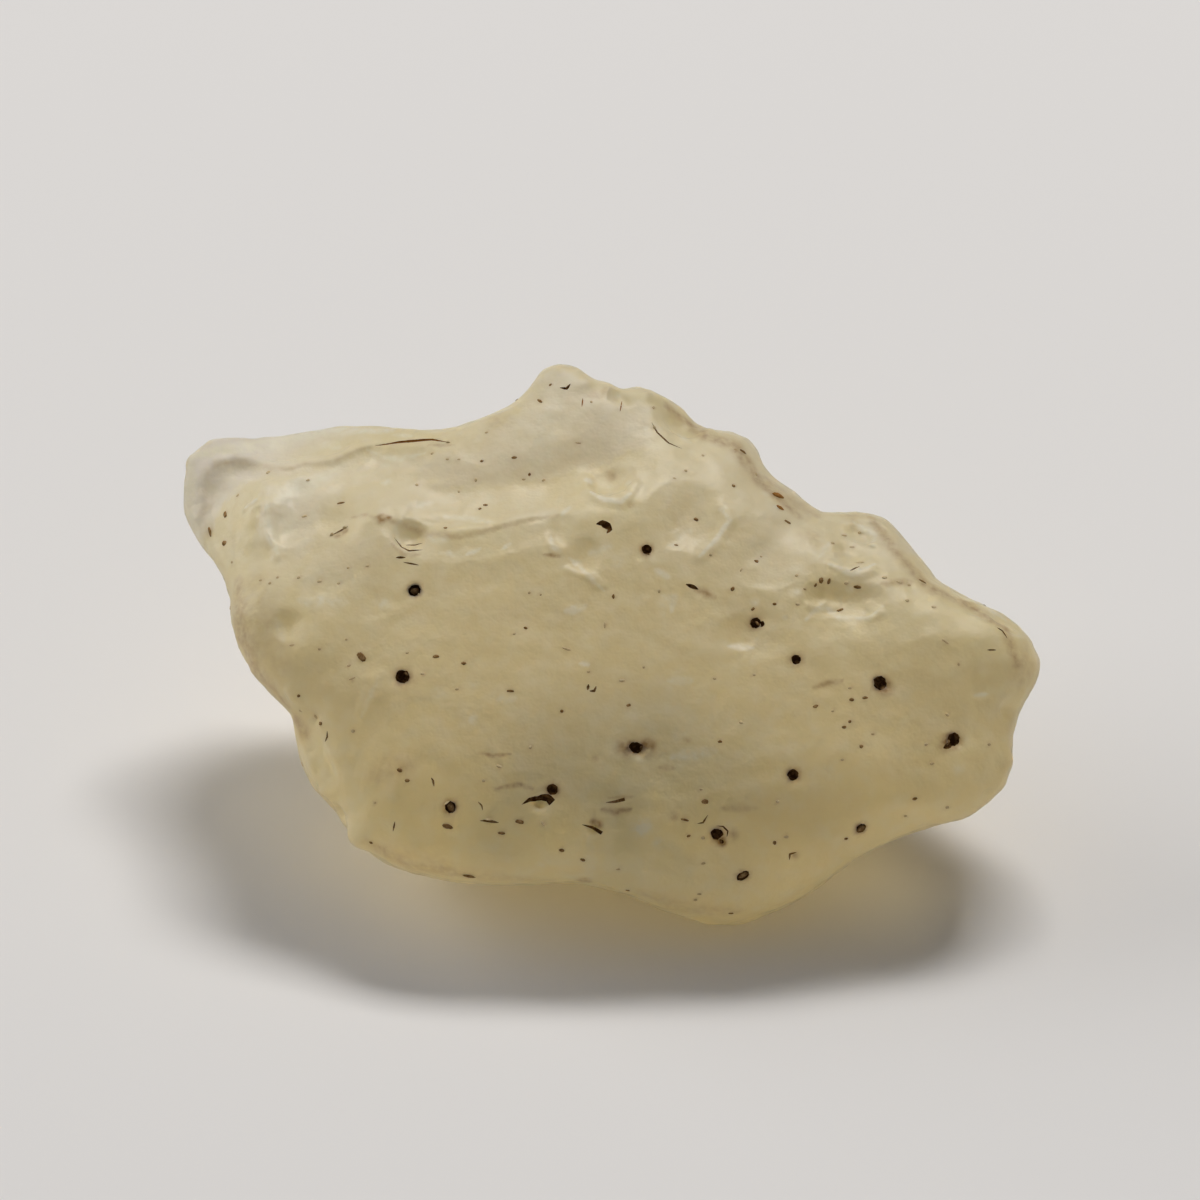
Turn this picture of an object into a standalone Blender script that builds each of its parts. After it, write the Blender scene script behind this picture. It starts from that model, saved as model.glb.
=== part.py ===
"""A wind-worn piece of Libyan desert glass, one solid lump of natural silica glass.

The lump is a flattish slab that leans back on its own underside. It is laid out in a slab frame:
u runs along its length, v up its broad face and w out of that face. Each direction from the
centre is carried out to the rim, whose plan is a closed curve of measured points, and raised over
the rim or sunk under it by a rounded profile. A ledge, a sloping crown, a trough, wind scallops
and low swells are then worked into that form, the slab is leant back to its resting pose, and its
underside is cut off level where it rests. Last, the burst bubbles are cut out of it as small pits.

Metres, +Z up, origin on the resting face under the middle of the lump's box.
"""

import bisect
import math

import bmesh
import bpy
from mathutils import Matrix, Vector, noise
from mathutils.bvhtree import BVHTree

MM = 0.001

# Driving dimensions, in millimetres and degrees.
LEAN = 40.0  # the broad face's own normal rises this much over level
FACE_RISE = 6.6  # the broad face over the rim's plane, at the middle
BACK_RISE = 7.4  # the back under the rim's plane, at the middle
RIM_SLOPE = -0.25  # how the rim's plane rises out of the face with v
CENTRE_HEIGHT = 9.8  # the middle of the rim's plane over the resting face
CELLS = 27  # facets along each side of the six patches that the skin starts from
FACE_BOXINESS = 2.7
BACK_BOXINESS = 2.2

# The rim, once round from the right-hand tip over the top: (u, v, w). Its plan is as sighted
# from SIGHTED_FROM over its plane, so that its nearer points are really a little further in.
SIGHTED_FROM = 450.0
RIM = [
    (23.1, -0.7, 2.4),  # right-hand tip
    (22.3, 1.0, 2.2),
    (21.0, 2.0, 1.8),
    (18.4, 3.1, 1.4),
    (16.6, 5.0, 0.6),
    (14.8, 7.0, -0.6),  # right-hand knob
    (13.1, 7.3, -1.0),
    (11.8, 7.1, -1.0),
    (10.4, 8.1, -1.2),
    (8.8, 9.4, -1.5),
    (8.0, 10.9, -1.9),
    (7.2, 11.3, -2.0),
    (5.2, 11.7, -2.0),
    (4.1, 12.8, -2.3),
    (2.0, 13.8, -2.6),
    (1.3, 13.6, -2.6),
    (0.1, 14.2, -2.7),
    (-0.7, 14.1, -2.7),
    (-1.4, 14.9, -2.8),  # crest
    (-2.5, 15.0, -2.8),
    (-3.2, 14.5, -2.6),
    (-4.0, 13.4, -2.2),
    (-5.6, 12.4, -1.8),
    (-8.6, 11.5, -2.2),
    (-13.6, 11.7, -3.4),  # upper edge of the back lobe
    (-17.3, 11.1, -3.6),
    (-20.9, 10.9, -3.4),
    (-21.7, 10.0, -3.2),  # corner of the back lobe
    (-21.9, 8.6, -3.0),
    (-21.7, 7.0, -2.6),
    (-20.6, 4.9, -1.8),
    (-19.8, 4.0, -0.6),
    (-19.5, 2.2, 0.8),
    (-18.8, -0.2, 1.6),
    (-17.3, -2.3, 2.0),
    (-16.3, -3.1, 2.0),
    (-15.9, -5.0, 1.6),
    (-15.3, -6.7, 1.8),
    (-13.9, -8.4, 2.4),
    (-12.9, -9.8, 3.0),
    (-11.2, -11.2, 3.4),
    (-8.1, -12.0, 3.6),
    (-2.5, -12.2, 3.6),
    (0.9, -12.6, 3.2),
    (3.0, -13.5, 2.6),
    (5.9, -14.4, 2.2),  # lowest point of the broad face
    (7.6, -14.3, 2.2),
    (9.2, -13.7, 2.4),
    (12.2, -11.9, 3.0),
    (13.8, -10.7, 3.2),
    (17.1, -9.3, 3.4),
    (19.8, -8.6, 3.4),
    (20.6, -7.7, 3.2),
    (21.4, -6.8, 3.0),
    (21.7, -5.2, 2.8),
    (21.6, -3.7, 2.6),
    (22.4, -2.6, 2.6),
]

# How far round the rim its reach is blurred for the middle of both faces, in radians.
BLUR_TURN = 0.45
BLUR_STEPS = 5

# Where the broad face steps down to the back lobe, at the upper left: a quarter of an ellipse.
LEDGE_CENTRE = (-8.5, 3.0)
LEDGE_REACH = (11.2, 8.1)
LEDGE_BOXINESS = 2.5
LEDGE_WIDTH = 1.3
LOBE_THINNER = 0.70  # the share of the broad face's rise that the back lobe is without

# The broad face's upper lip, (u, v) from left to right. Over it the crown slopes away.
LIP = [(-24.0, 8.6), (-15.0, 8.2), (-11.0, 7.6), (-7.5, 6.2), (-3.0, 6.9), (1.0, 8.4), (6.0, 7.4)]
LIP += [(13.0, 4.4), (20.0, 1.4), (24.0, 0.0)]
CROWN_REACH = 6.0
CROWN_THINNER = 0.75  # the share of the broad face's rise that a far-reaching crown would lose
LIP_ROUNDING = 0.5
TROUGH_DEPTH = 0.9
TROUGH_WIDTH = 1.5

# The underside's keel, which the lump rests on: (u, v), half widths and depth.
KEEL = (0.0, -4.0)
KEEL_REACH = (14.0, 7.0)
KEEL_DEPTH = 4.0

# Wind scallops on the broad face: u, v, radius and depth.
SCALLOPS = [
    (-14.7, 7.1, 2.7, 0.80),
    (-9.6, 5.9, 1.3, 0.40),
    (0.4, 9.1, 1.4, 0.45),
    (4.2, 12.1, 1.5, 0.50),
    (5.0, 6.8, 1.9, 0.40),
    (13.5, 6.0, 2.0, 0.50),
    (12.8, 2.6, 2.2, 0.40),
    (8.0, 1.0, 1.9, 0.30),
    (-0.8, 5.2, 1.5, 0.30),
    (-16.3, 1.3, 1.6, 0.30),
    (18.0, 4.4, 1.8, 0.40),
    (20.0, -2.1, 1.2, 0.30),
    (-14.9, -4.6, 1.3, 0.35),
]

# Burst bubbles on the broad face: u, v and radius. Each is a pit as deep as it is wide.
PITS = [
    (-9.65, 3.09, 0.40),
    (-10.38, -1.42, 0.38),
    (0.16, 6.45, 0.36),
    (2.46, 5.30, 0.26),
    (8.23, 1.42, 0.33),
    (10.28, -0.52, 0.26),
    (14.68, -1.78, 0.38),
    (18.56, -4.77, 0.40),
    (10.12, -6.55, 0.32),
    (1.94, -5.14, 0.40),
    (6.14, -9.60, 0.38),
    (7.45, -11.85, 0.34),
    (-7.87, -8.18, 0.34),
    (-3.15, -7.81, 0.48),
    (-0.31, -9.23, 0.42),
]
PIT_SIDES = 8
PIT_STAND_OFF = 0.2  # the middle of each pit's ball under the skin, as a share of its radius

# The swells and wind flutes of the whole skin. A flute is a dish with sharp edges.
SWELL_HEIGHT = 0.45
SWELL_SPACING = 9.0
FLUTES = [(9.5, 2.6), (5.0, 1.1)]  # spacing, and depth at one spacing from a dish's middle
FLUTE_EVEN = 0.22  # the share of that depth at which the dishes and their edges balance
FLUTES_ON_FACE = 0.10  # how much of the back's fluting the broad face has

GLASS_COLOUR = (0.74, 0.66, 0.42, 1.0)


def clear_scene():
    for obj in list(bpy.data.objects):
        bpy.data.objects.remove(obj)


def smoothstep(low, high, value):
    """0 below low, 1 above high, and smooth between."""
    share = min(max((value - low) / (high - low), 0.0), 1.0)
    return share * share * (3.0 - 2.0 * share)


def bump(u, v, centre, reach):
    """A rounded hill of height 1 over centre, with half widths reach."""
    return math.exp(-(((u - centre[0]) / reach[0]) ** 2) - ((v - centre[1]) / reach[1]) ** 2)


def turn_of(point):
    return math.atan2(point[1], point[0]) % math.tau


def hermite(share, start, end, slope_in, slope_out):
    """A smooth curve from start to end that leaves and arrives at the two slopes."""
    square, cube = share**2, share**3
    value = (2 * cube - 3 * square + 1) * start + (3 * square - 2 * cube) * end
    return value + (cube - 2 * square + share) * slope_in + (cube - square) * slope_out


RIM_BY_TURN = sorted(RIM, key=turn_of)
RIM_TURNS = [turn_of(point) for point in RIM_BY_TURN]


def rim_at(turn):
    """The rim's reach from the centre and its height w, where a ray at this angle meets it."""
    count = len(RIM_BY_TURN)
    after = bisect.bisect_right(RIM_TURNS, turn % math.tau)
    knots = []
    for index in range(after - 2, after + 2):
        point = RIM_BY_TURN[index % count]
        knot_turn = RIM_TURNS[index % count] + math.tau * (index // count)
        nearer = 1.0 - point[2] / SIGHTED_FROM
        knots.append((knot_turn, math.hypot(point[0], point[1]) * nearer, point[2]))
    before, start, end, beyond = knots
    span = end[0] - start[0]
    share = (turn % math.tau - start[0]) / span
    found = []
    for value in (1, 2):
        slope_in = (end[value] - before[value]) / (end[0] - before[0]) * span
        slope_out = (beyond[value] - start[value]) / (beyond[0] - start[0]) * span
        found.append(hermite(share, start[value], end[value], slope_in, slope_out))
    return found


def blurred_reach(turn):
    """The rim's reach with its knobs and notches smoothed away."""
    steps = range(-BLUR_STEPS, BLUR_STEPS + 1)
    reaches = [rim_at(turn + step * BLUR_TURN / BLUR_STEPS)[0] for step in steps]
    return sum(reaches) / len(reaches)


def plan_point(direction, boxiness):
    """Where a unit direction lands in plan, with the rim plane's height and the rise there.

    The sphere of directions is first pushed out to a boxier rounded profile. Towards the middle
    the rim's knobs and notches fade into the blurred rim, and its bends into a plane.
    """
    inward = math.hypot(direction.x, direction.y)
    scale = (inward**boxiness + abs(direction.z) ** boxiness) ** (-1.0 / boxiness)
    inward, rise = inward * scale, direction.z * scale
    turn = math.atan2(direction.y, direction.x)
    rim_reach, rim_height = rim_at(turn)
    blurred = blurred_reach(turn)
    reach = inward * (blurred + (rim_reach - blurred) * inward**4)
    bend = rim_height - RIM_SLOPE * rim_reach * math.sin(turn)
    u, v = reach * math.cos(turn), reach * math.sin(turn)
    return u, v, RIM_SLOPE * v + bend * inward**4, rise


def past_ledge(u, v):
    """0 on the broad face, rising to 1 on the back lobe at its upper left."""
    along = abs(u - LEDGE_CENTRE[0]) / LEDGE_REACH[0]
    up = abs(v - LEDGE_CENTRE[1]) / LEDGE_REACH[1]
    outward = (along**LEDGE_BOXINESS + up**LEDGE_BOXINESS) ** (1.0 / LEDGE_BOXINESS)
    beyond = (outward - 1.0) * LEDGE_REACH[1]
    to_the_left = smoothstep(1.0, -3.0, u - LEDGE_CENTRE[0])
    above = smoothstep(-1.5, 1.5, v - LEDGE_CENTRE[1])
    return smoothstep(-LEDGE_WIDTH / 2, LEDGE_WIDTH, beyond) * to_the_left * above


def over_lip(u, v):
    """How far a point of the broad face lies over its upper lip."""
    for (left_u, left_v), (right_u, right_v) in zip(LIP, LIP[1:]):
        if u <= right_u:
            break
    share = smoothstep(left_u, right_u, u)
    return v - (left_v + (right_v - left_v) * share)


def crown(above):
    """The share of its rise that the broad face has lost at this height over its upper lip."""
    eased = (above + math.hypot(above, LIP_ROUNDING)) / 2
    return CROWN_THINNER * (1.0 - math.exp(-eased / CROWN_REACH))


def trough(u, above):
    """The depth of the trough that runs over the broad face's upper lip."""
    ends = smoothstep(-19.0, -15.5, u) * smoothstep(4.0, 0.0, u)
    across = (above - TROUGH_WIDTH) / TROUGH_WIDTH
    return TROUGH_DEPTH * math.exp(-across * across) * ends


def scallops(u, v):
    """The depth of the round scallops that the wind wore into the broad face."""
    depth = 0.0
    for centre_u, centre_v, radius, deepest in SCALLOPS:
        away = math.hypot(u - centre_u, v - centre_v) / radius
        depth += deepest * max(1.0 - away * away, 0.0) ** 1.5
    return depth


def face_point(direction):
    """A point of the broad face, in the slab frame."""
    u, v, base, rise = plan_point(direction, FACE_BOXINESS)
    above = over_lip(u, v)
    lobe = past_ledge(u, v)
    thick = 1.0 - LOBE_THINNER * lobe - crown(above) * (1.0 - lobe)
    worn = (trough(u, above) + scallops(u, v)) * smoothstep(0.0, 0.4, rise)
    return Vector((u, v, base + FACE_RISE * rise * thick - worn))


def back_point(direction):
    """A point of the underside, in the slab frame."""
    u, v, base, rise = plan_point(direction, BACK_BOXINESS)
    keel = KEEL_DEPTH * bump(u, v, KEEL, KEEL_REACH) * smoothstep(0.0, 0.6, -rise)
    return Vector((u, v, base + BACK_RISE * rise - keel))


def wind_wear(point, facing):
    """How far the wind has left the skin proud or hollow at a point whose normal is facing."""
    swell = SWELL_HEIGHT * noise.noise(point / SWELL_SPACING)
    fluting = 0.0
    for spacing, depth in FLUTES:
        nearest = noise.voronoi(point / spacing)[0][0]
        fluting += depth * (nearest * nearest - FLUTE_EVEN)
    sheltered = FLUTES_ON_FACE + (1.0 - FLUTES_ON_FACE) * smoothstep(0.55, -0.25, facing.z)
    off_rim = smoothstep(0.15, 0.85, abs(facing.z))
    return (swell + fluting * sheltered) * off_rim


def even_sphere():
    """A unit sphere of six patches, CELLS by CELLS facets each, as even as a cube allows."""
    skin = bmesh.new()
    bmesh.ops.create_cube(skin, size=2.0)
    bmesh.ops.subdivide_edges(skin, edges=skin.edges[:], cuts=CELLS - 1, use_grid_fill=True)
    for vert in skin.verts:
        vert.co = Vector([math.tan(side * math.pi / 4) for side in vert.co]).normalized()
    return skin


def worn_slab():
    """The whole lump in the slab frame, in millimetres."""
    skin = even_sphere()
    for vert in skin.verts:
        vert.co = face_point(vert.co) if vert.co.z >= 0 else back_point(vert.co)
    skin.normal_update()
    moves = [vert.normal * wind_wear(vert.co, vert.normal) for vert in skin.verts]
    for vert, move in zip(skin.verts, moves):
        vert.co += move
    return skin


def cut_level(skin):
    """Cuts everything under z = 0 away and closes the cut with one flat face."""
    everything = skin.verts[:] + skin.edges[:] + skin.faces[:]
    cut = bmesh.ops.bisect_plane(
        skin, geom=everything, plane_co=(0, 0, 0), plane_no=(0, 0, -1), clear_outer=True
    )
    edges = [item for item in cut["geom_cut"] if isinstance(item, bmesh.types.BMEdge)]
    bmesh.ops.contextual_create(skin, geom=edges)
    bmesh.ops.recalc_face_normals(skin, faces=skin.faces)


def resting_matrix(middle):
    """From the slab frame to the resting pose, with middle brought over the origin."""
    lean_back = Matrix.Rotation(math.radians(90.0 - LEAN), 4, "X")
    return Matrix.Translation(Vector((0, 0, CENTRE_HEIGHT)) - middle) @ lean_back


def lay_to_rest(skin):
    """Leans the slab back, cuts it level and centres it. Returns the matrix that did so."""
    skin.transform(resting_matrix(Vector()))
    cut_level(skin)
    sides = [[vert.co[axis] for vert in skin.verts] for axis in range(2)]
    middle = Vector([(min(side) + max(side)) / 2 for side in sides] + [0.0])
    bmesh.ops.translate(skin, vec=-middle, verts=skin.verts)
    return resting_matrix(middle)


def glass_material():
    """Pale yellow natural glass with a matt, wind-frosted skin."""
    material = bpy.data.materials.new("desert_glass")
    material.use_nodes = True
    shader = material.node_tree.nodes["Principled BSDF"]
    shader.inputs["Base Color"].default_value = GLASS_COLOUR
    shader.inputs["Roughness"].default_value = 0.45
    shader.inputs["Metallic"].default_value = 0.0
    shader.inputs["IOR"].default_value = 1.46
    shader.inputs["Transmission Weight"].default_value = 0.6
    return material


def pit_cutter(skin, to_rest):
    """A small ball for each burst bubble, more than half sunk in the broad face."""
    surface = BVHTree.FromBMesh(skin)
    outward = to_rest.to_3x3() @ Vector((0, 0, 1))
    balls = bmesh.new()
    for u, v, radius in PITS:
        above = to_rest @ Vector((u, v, 2 * FACE_RISE))
        place, normal, _, _ = surface.ray_cast(above, -outward)
        centre = Matrix.Translation(place - normal * radius * PIT_STAND_OFF)
        turned = centre @ normal.to_track_quat("Z", "Y").to_matrix().to_4x4()
        bmesh.ops.create_uvsphere(
            balls, u_segments=PIT_SIDES, v_segments=PIT_SIDES // 2, radius=radius, matrix=turned
        )
    return balls


def hidden_tool(name, shape):
    """A wire-drawn object that a Boolean reads and that no render shows."""
    tool = linked_object(name, shape)
    tool.hide_render = True
    tool.display_type = "WIRE"
    return tool


def linked_object(name, shape):
    """An object in the scene, in metres, of a bmesh in millimetres."""
    shape.transform(Matrix.Scale(MM, 4))
    mesh = bpy.data.meshes.new(name)
    shape.to_mesh(mesh)
    shape.free()
    obj = bpy.data.objects.new(name, mesh)
    bpy.context.scene.collection.objects.link(obj)
    return obj


def main():
    clear_scene()
    skin = worn_slab()
    to_rest = lay_to_rest(skin)
    cutter = hidden_tool("pit_cutter", pit_cutter(skin, to_rest))
    lump = linked_object("desert_glass", skin)
    lump.data.shade_smooth()
    lump.data.set_sharp_from_angle(angle=math.radians(50))
    lump.data.materials.append(glass_material())
    pits = lump.modifiers.new("burst_bubbles", "BOOLEAN")
    pits.operation = "DIFFERENCE"
    pits.object = cutter


main()
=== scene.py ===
# %% [markdown]
# # A piece of Libyan desert glass
#
# The object is one lump of natural glass, about 45 mm long: pale greenish yellow, see-through
# only as a candle is, with a skin that wind-blown sand has worn matt. It has shallow round dishes
# where the wind scooped it, small burst bubbles packed with dark soil, and milky flecks.
#
# The lump itself comes from CAD as a plain solid. Here a finely meshed copy of it is worn by hand
# into the finished stone, and then it gets its glass, its soil and its grains.

import math
import random

import bmesh
import bpy
from mathutils import Matrix, Vector
from mathutils.bvhtree import BVHTree
from mathutils.kdtree import KDTree


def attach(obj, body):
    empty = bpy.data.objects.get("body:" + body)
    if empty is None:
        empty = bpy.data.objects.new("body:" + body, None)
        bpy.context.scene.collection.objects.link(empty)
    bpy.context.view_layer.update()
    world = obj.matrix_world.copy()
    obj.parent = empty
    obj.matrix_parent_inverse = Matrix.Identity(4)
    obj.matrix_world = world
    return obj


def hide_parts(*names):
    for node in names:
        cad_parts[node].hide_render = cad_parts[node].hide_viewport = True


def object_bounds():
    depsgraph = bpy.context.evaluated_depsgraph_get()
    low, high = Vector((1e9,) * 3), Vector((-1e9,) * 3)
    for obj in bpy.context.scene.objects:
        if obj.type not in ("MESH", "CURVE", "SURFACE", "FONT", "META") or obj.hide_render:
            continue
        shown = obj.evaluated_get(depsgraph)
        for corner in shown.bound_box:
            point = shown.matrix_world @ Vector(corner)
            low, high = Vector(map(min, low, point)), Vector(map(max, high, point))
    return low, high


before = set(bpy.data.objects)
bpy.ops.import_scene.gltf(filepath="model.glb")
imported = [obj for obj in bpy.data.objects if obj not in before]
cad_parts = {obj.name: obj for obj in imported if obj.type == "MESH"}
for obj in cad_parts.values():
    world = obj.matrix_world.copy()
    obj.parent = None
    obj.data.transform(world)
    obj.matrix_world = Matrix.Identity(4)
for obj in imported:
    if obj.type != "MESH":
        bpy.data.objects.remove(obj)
cad_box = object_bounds()
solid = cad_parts["desert_glass"]
MM = 0.001


def in_mm(sides):
    """Lengths in metres as millimetres, for printing."""
    return [round(side / MM, 2) for side in sides]


print("CAD box, mm:", [in_mm(corner) for corner in cad_box])

# %% [markdown]
# ## A frame for the broad face
#
# The lump is a slab that leans back, and nearly all that is worth seeing is on its broad face.
# Measuring along the floor would be awkward, so every mark is placed in the slab's own frame:
# u runs along the slab, v up its broad face and w straight out of it, in millimetres.

# %% The slab's frame
LEAN = math.radians(40)
SLAB_CENTRE = Vector((-0.4474, -0.5613, 9.8))
SLAB = Matrix.Translation(SLAB_CENTRE) @ Matrix.Rotation(math.pi / 2 - LEAN, 4, "X")
OUTWARD = SLAB.to_3x3() @ Vector((0, 0, 1))


def slab_point(u, v, w=0.0):
    """A place in the slab's frame, in millimetres, as metres in the scene."""
    return SLAB @ Vector((u, v, w)) * MM


print("the broad face looks along", [round(side, 3) for side in OUTWARD])

# %% [markdown]
# ## The camera
#
# The camera looks squarely at the broad face from nearly half a metre away. So far off, with a
# long lens, near and far parts of the stone keep almost the same scale. The lens is worked out
# from the width of the view at the stone, which is easier to judge than a focal length.

# %% Camera
EYE_DISTANCE = 450.0
VIEW_WIDTH = 62.9
VIEW_MIDDLE = (0.0, 2.62)
EYE = slab_point(*VIEW_MIDDLE, EYE_DISTANCE)
SENSOR_WIDTH = 36.0

camera = bpy.data.objects.new("camera", bpy.data.cameras.new("camera"))
bpy.context.scene.collection.objects.link(camera)
bpy.context.scene.camera = camera
camera.location = EYE
camera.rotation_euler = OUTWARD.to_track_quat("Z", "Y").to_euler()
camera.data.sensor_width = SENSOR_WIDTH
camera.data.lens = SENSOR_WIDTH * EYE_DISTANCE / VIEW_WIDTH
print("focal length, mm:", round(camera.data.lens, 1))

# %% [markdown]
# ## Floor and light
#
# A plain pale sheet, one soft lamp high up behind the stone, a slightly weaker one further off
# and lower on the left, and a dim even sky. Light from behind matters for a see-through object:
# it enters the back, warms on its way through, and leaves a lighter patch inside the stone's own
# shadow. The left lamp keeps the left shadow pale while the right one stays deep.

# %% Floor
FLOOR_SIZE = 3.0
PAPER_COLOUR = (0.81, 0.795, 0.785, 1.0)
PAPER_ROUGHNESS = 0.9
PAPER_SPECULAR = 0.2


def plain_material(name, colour, roughness, specular):
    """A Principled material with the values that most finishes here need."""
    material = bpy.data.materials.new(name)
    material.use_nodes = True
    shader = material.node_tree.nodes["Principled BSDF"]
    shader.inputs["Base Color"].default_value = colour
    shader.inputs["Roughness"].default_value = roughness
    shader.inputs["Specular IOR Level"].default_value = specular
    return material


bpy.ops.mesh.primitive_plane_add(size=FLOOR_SIZE)
floor = bpy.context.object
floor.name = "floor"
paper = plain_material("paper", PAPER_COLOUR, PAPER_ROUGHNESS, PAPER_SPECULAR)
floor.data.materials.append(paper)
print("floor, m:", tuple(floor.dimensions)[:2])

# %% Lamps
LAMP_COLOUR = (1.0, 0.98, 0.95)
LAMP_PLACE = Vector((0.21, 0.78, 1.22))
LAMP_WIDTH = 0.65
LAMP_HEIGHT = 0.28
LAMP_WATTS = 13.8
FILL_PLACE = Vector((-1.5, 0.56, 0.56))
FILL_SIZE = 1.2
FILL_WATTS = 12.5


def soft_lamp(name, place, width, height, watts):
    """A flat lamp that looks at the middle of the floor."""
    lamp = bpy.data.objects.new(name, bpy.data.lights.new(name, "AREA"))
    bpy.context.scene.collection.objects.link(lamp)
    lamp.location = place
    lamp.rotation_euler = place.to_track_quat("Z", "Y").to_euler()
    lamp.data.shape = "RECTANGLE"
    lamp.data.size = width
    lamp.data.size_y = height
    lamp.data.energy = watts
    lamp.data.color = LAMP_COLOUR


soft_lamp("lamp", LAMP_PLACE, LAMP_WIDTH, LAMP_HEIGHT, LAMP_WATTS)
soft_lamp("fill", FILL_PLACE, FILL_SIZE, FILL_SIZE, FILL_WATTS)
print("lamps, m away:", round(LAMP_PLACE.length, 2), round(FILL_PLACE.length, 2))

# %% Sky
SKY_COLOUR = (0.96, 0.97, 1.0, 1.0)
SKY_STRENGTH = 0.185

sky = bpy.data.worlds.new("sky")
sky.use_nodes = True
sky_light = sky.node_tree.nodes["Background"]
sky_light.inputs["Color"].default_value = SKY_COLOUR
sky_light.inputs["Strength"].default_value = SKY_STRENGTH
bpy.context.scene.world = sky
bpy.context.scene.view_settings.view_transform = "Standard"
bpy.context.scene.cycles.use_denoising = True
print("sky strength:", SKY_STRENGTH)

# %% [markdown]
# ## The lump, finely meshed
#
# The CAD solid has about nine thousand triangles of uneven size. To wear it, it needs small even
# facets, as a carver needs wood without knots. A voxel remesh gives just that, and a little
# smoothing takes away the old facets. The solid itself is only hidden, and stays as it was.

# %% Working on one object at a time
def only(obj):
    """Selects one object and nothing else, and makes it the active one."""
    bpy.ops.object.select_all(action="DESELECT")
    obj.select_set(True)
    bpy.context.view_layer.objects.active = obj


def finish_modifier(obj, name, kind, **settings):
    """Adds a modifier with these settings and applies it."""
    only(obj)
    modifier = obj.modifiers.new(name, kind)
    for setting, value in settings.items():
        setattr(modifier, setting, value)
    bpy.ops.object.modifier_apply(modifier=name)


def count(obj):
    """How many triangles an object's faces come to."""
    return sum(len(face.vertices) - 2 for face in obj.data.polygons)


print("triangles in the solid:", count(solid))

# %% A fine copy of the solid
FACET = 0.23
SAME_POINT = 0.001
SMOOTHINGS = 5
SMOOTHING = 0.5

lump = solid.copy()
lump.data = solid.data.copy()
lump.name = "desert_glass_lump"
bpy.context.scene.collection.objects.link(lump)
only(lump)
bpy.ops.object.mode_set(mode="EDIT")
bpy.ops.mesh.select_all(action="SELECT")
bpy.ops.mesh.remove_doubles(threshold=SAME_POINT * MM)
bpy.ops.object.mode_set(mode="OBJECT")
finish_modifier(lump, "even_facets", "REMESH", mode="VOXEL", voxel_size=FACET * MM)
finish_modifier(lump, "no_old_facets", "SMOOTH", iterations=SMOOTHINGS, factor=SMOOTHING)
bpy.ops.object.shade_smooth()
print("triangles:", count(lump))

# %% [markdown]
# ## Places on the stone
#
# A mark is placed by where it is seen to lie from the camera: a line from the eye through its
# (u, v) on the slab's plane is followed to where it meets the stone. So the mark always sits on
# the surface itself, however that bulges. A path of such places makes a longer mark.

# %% Where a line of sight meets the stone
def skin_of(obj):
    """The object's surface, ready for finding places on it."""
    return BVHTree.FromPolygons(
        [vert.co for vert in obj.data.vertices], [face.vertices for face in obj.data.polygons]
    )


def points_of(obj):
    """The object's points, ready for finding those near a place."""
    tree = KDTree(len(obj.data.vertices))
    for index, vert in enumerate(obj.data.vertices):
        tree.insert(vert.co, index)
    tree.balance()
    return tree


def seen_spot(u, v):
    """The place and the normal where the line of sight through (u, v) meets the lump."""
    place, normal, _, _ = seen_skin.ray_cast(EYE, (slab_point(u, v) - EYE).normalized())
    return place, normal


def traced(path, step):
    """The spots seen along a path of (u, v), no further apart than step."""
    spots = []
    for start, end in zip(path, path[1:]):
        parts = math.ceil(math.dist(start, end) / step)
        for part in range(parts):
            spots.append(seen_spot(*Vector(start).lerp(Vector(end), part / parts)))
    spots.append(seen_spot(*path[-1]))
    return [spot for spot in spots if spot[0]]


PEAK = (-1.9, 13.0)

even_skin = skin_of(lump)
seen_skin = even_skin
print("near the peak, mm:", in_mm(seen_spot(*PEAK)[0]))

# %% [markdown]
# ## Wind-worn dishes and ridges
#
# Blown sand hollows glass out in shallow dishes that meet in crisp rims. By hand, a dish is one
# point pushed in with proportional editing. The inverse-square falloff gives it a round bowl with
# a crisp edge. Pushing several points at once, along a path, makes a trough, and pulling them out
# makes a ridge. Tugging the rim sideways knobs and notches the outline. The facets under the
# sharpest marks are first split finer.

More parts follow.
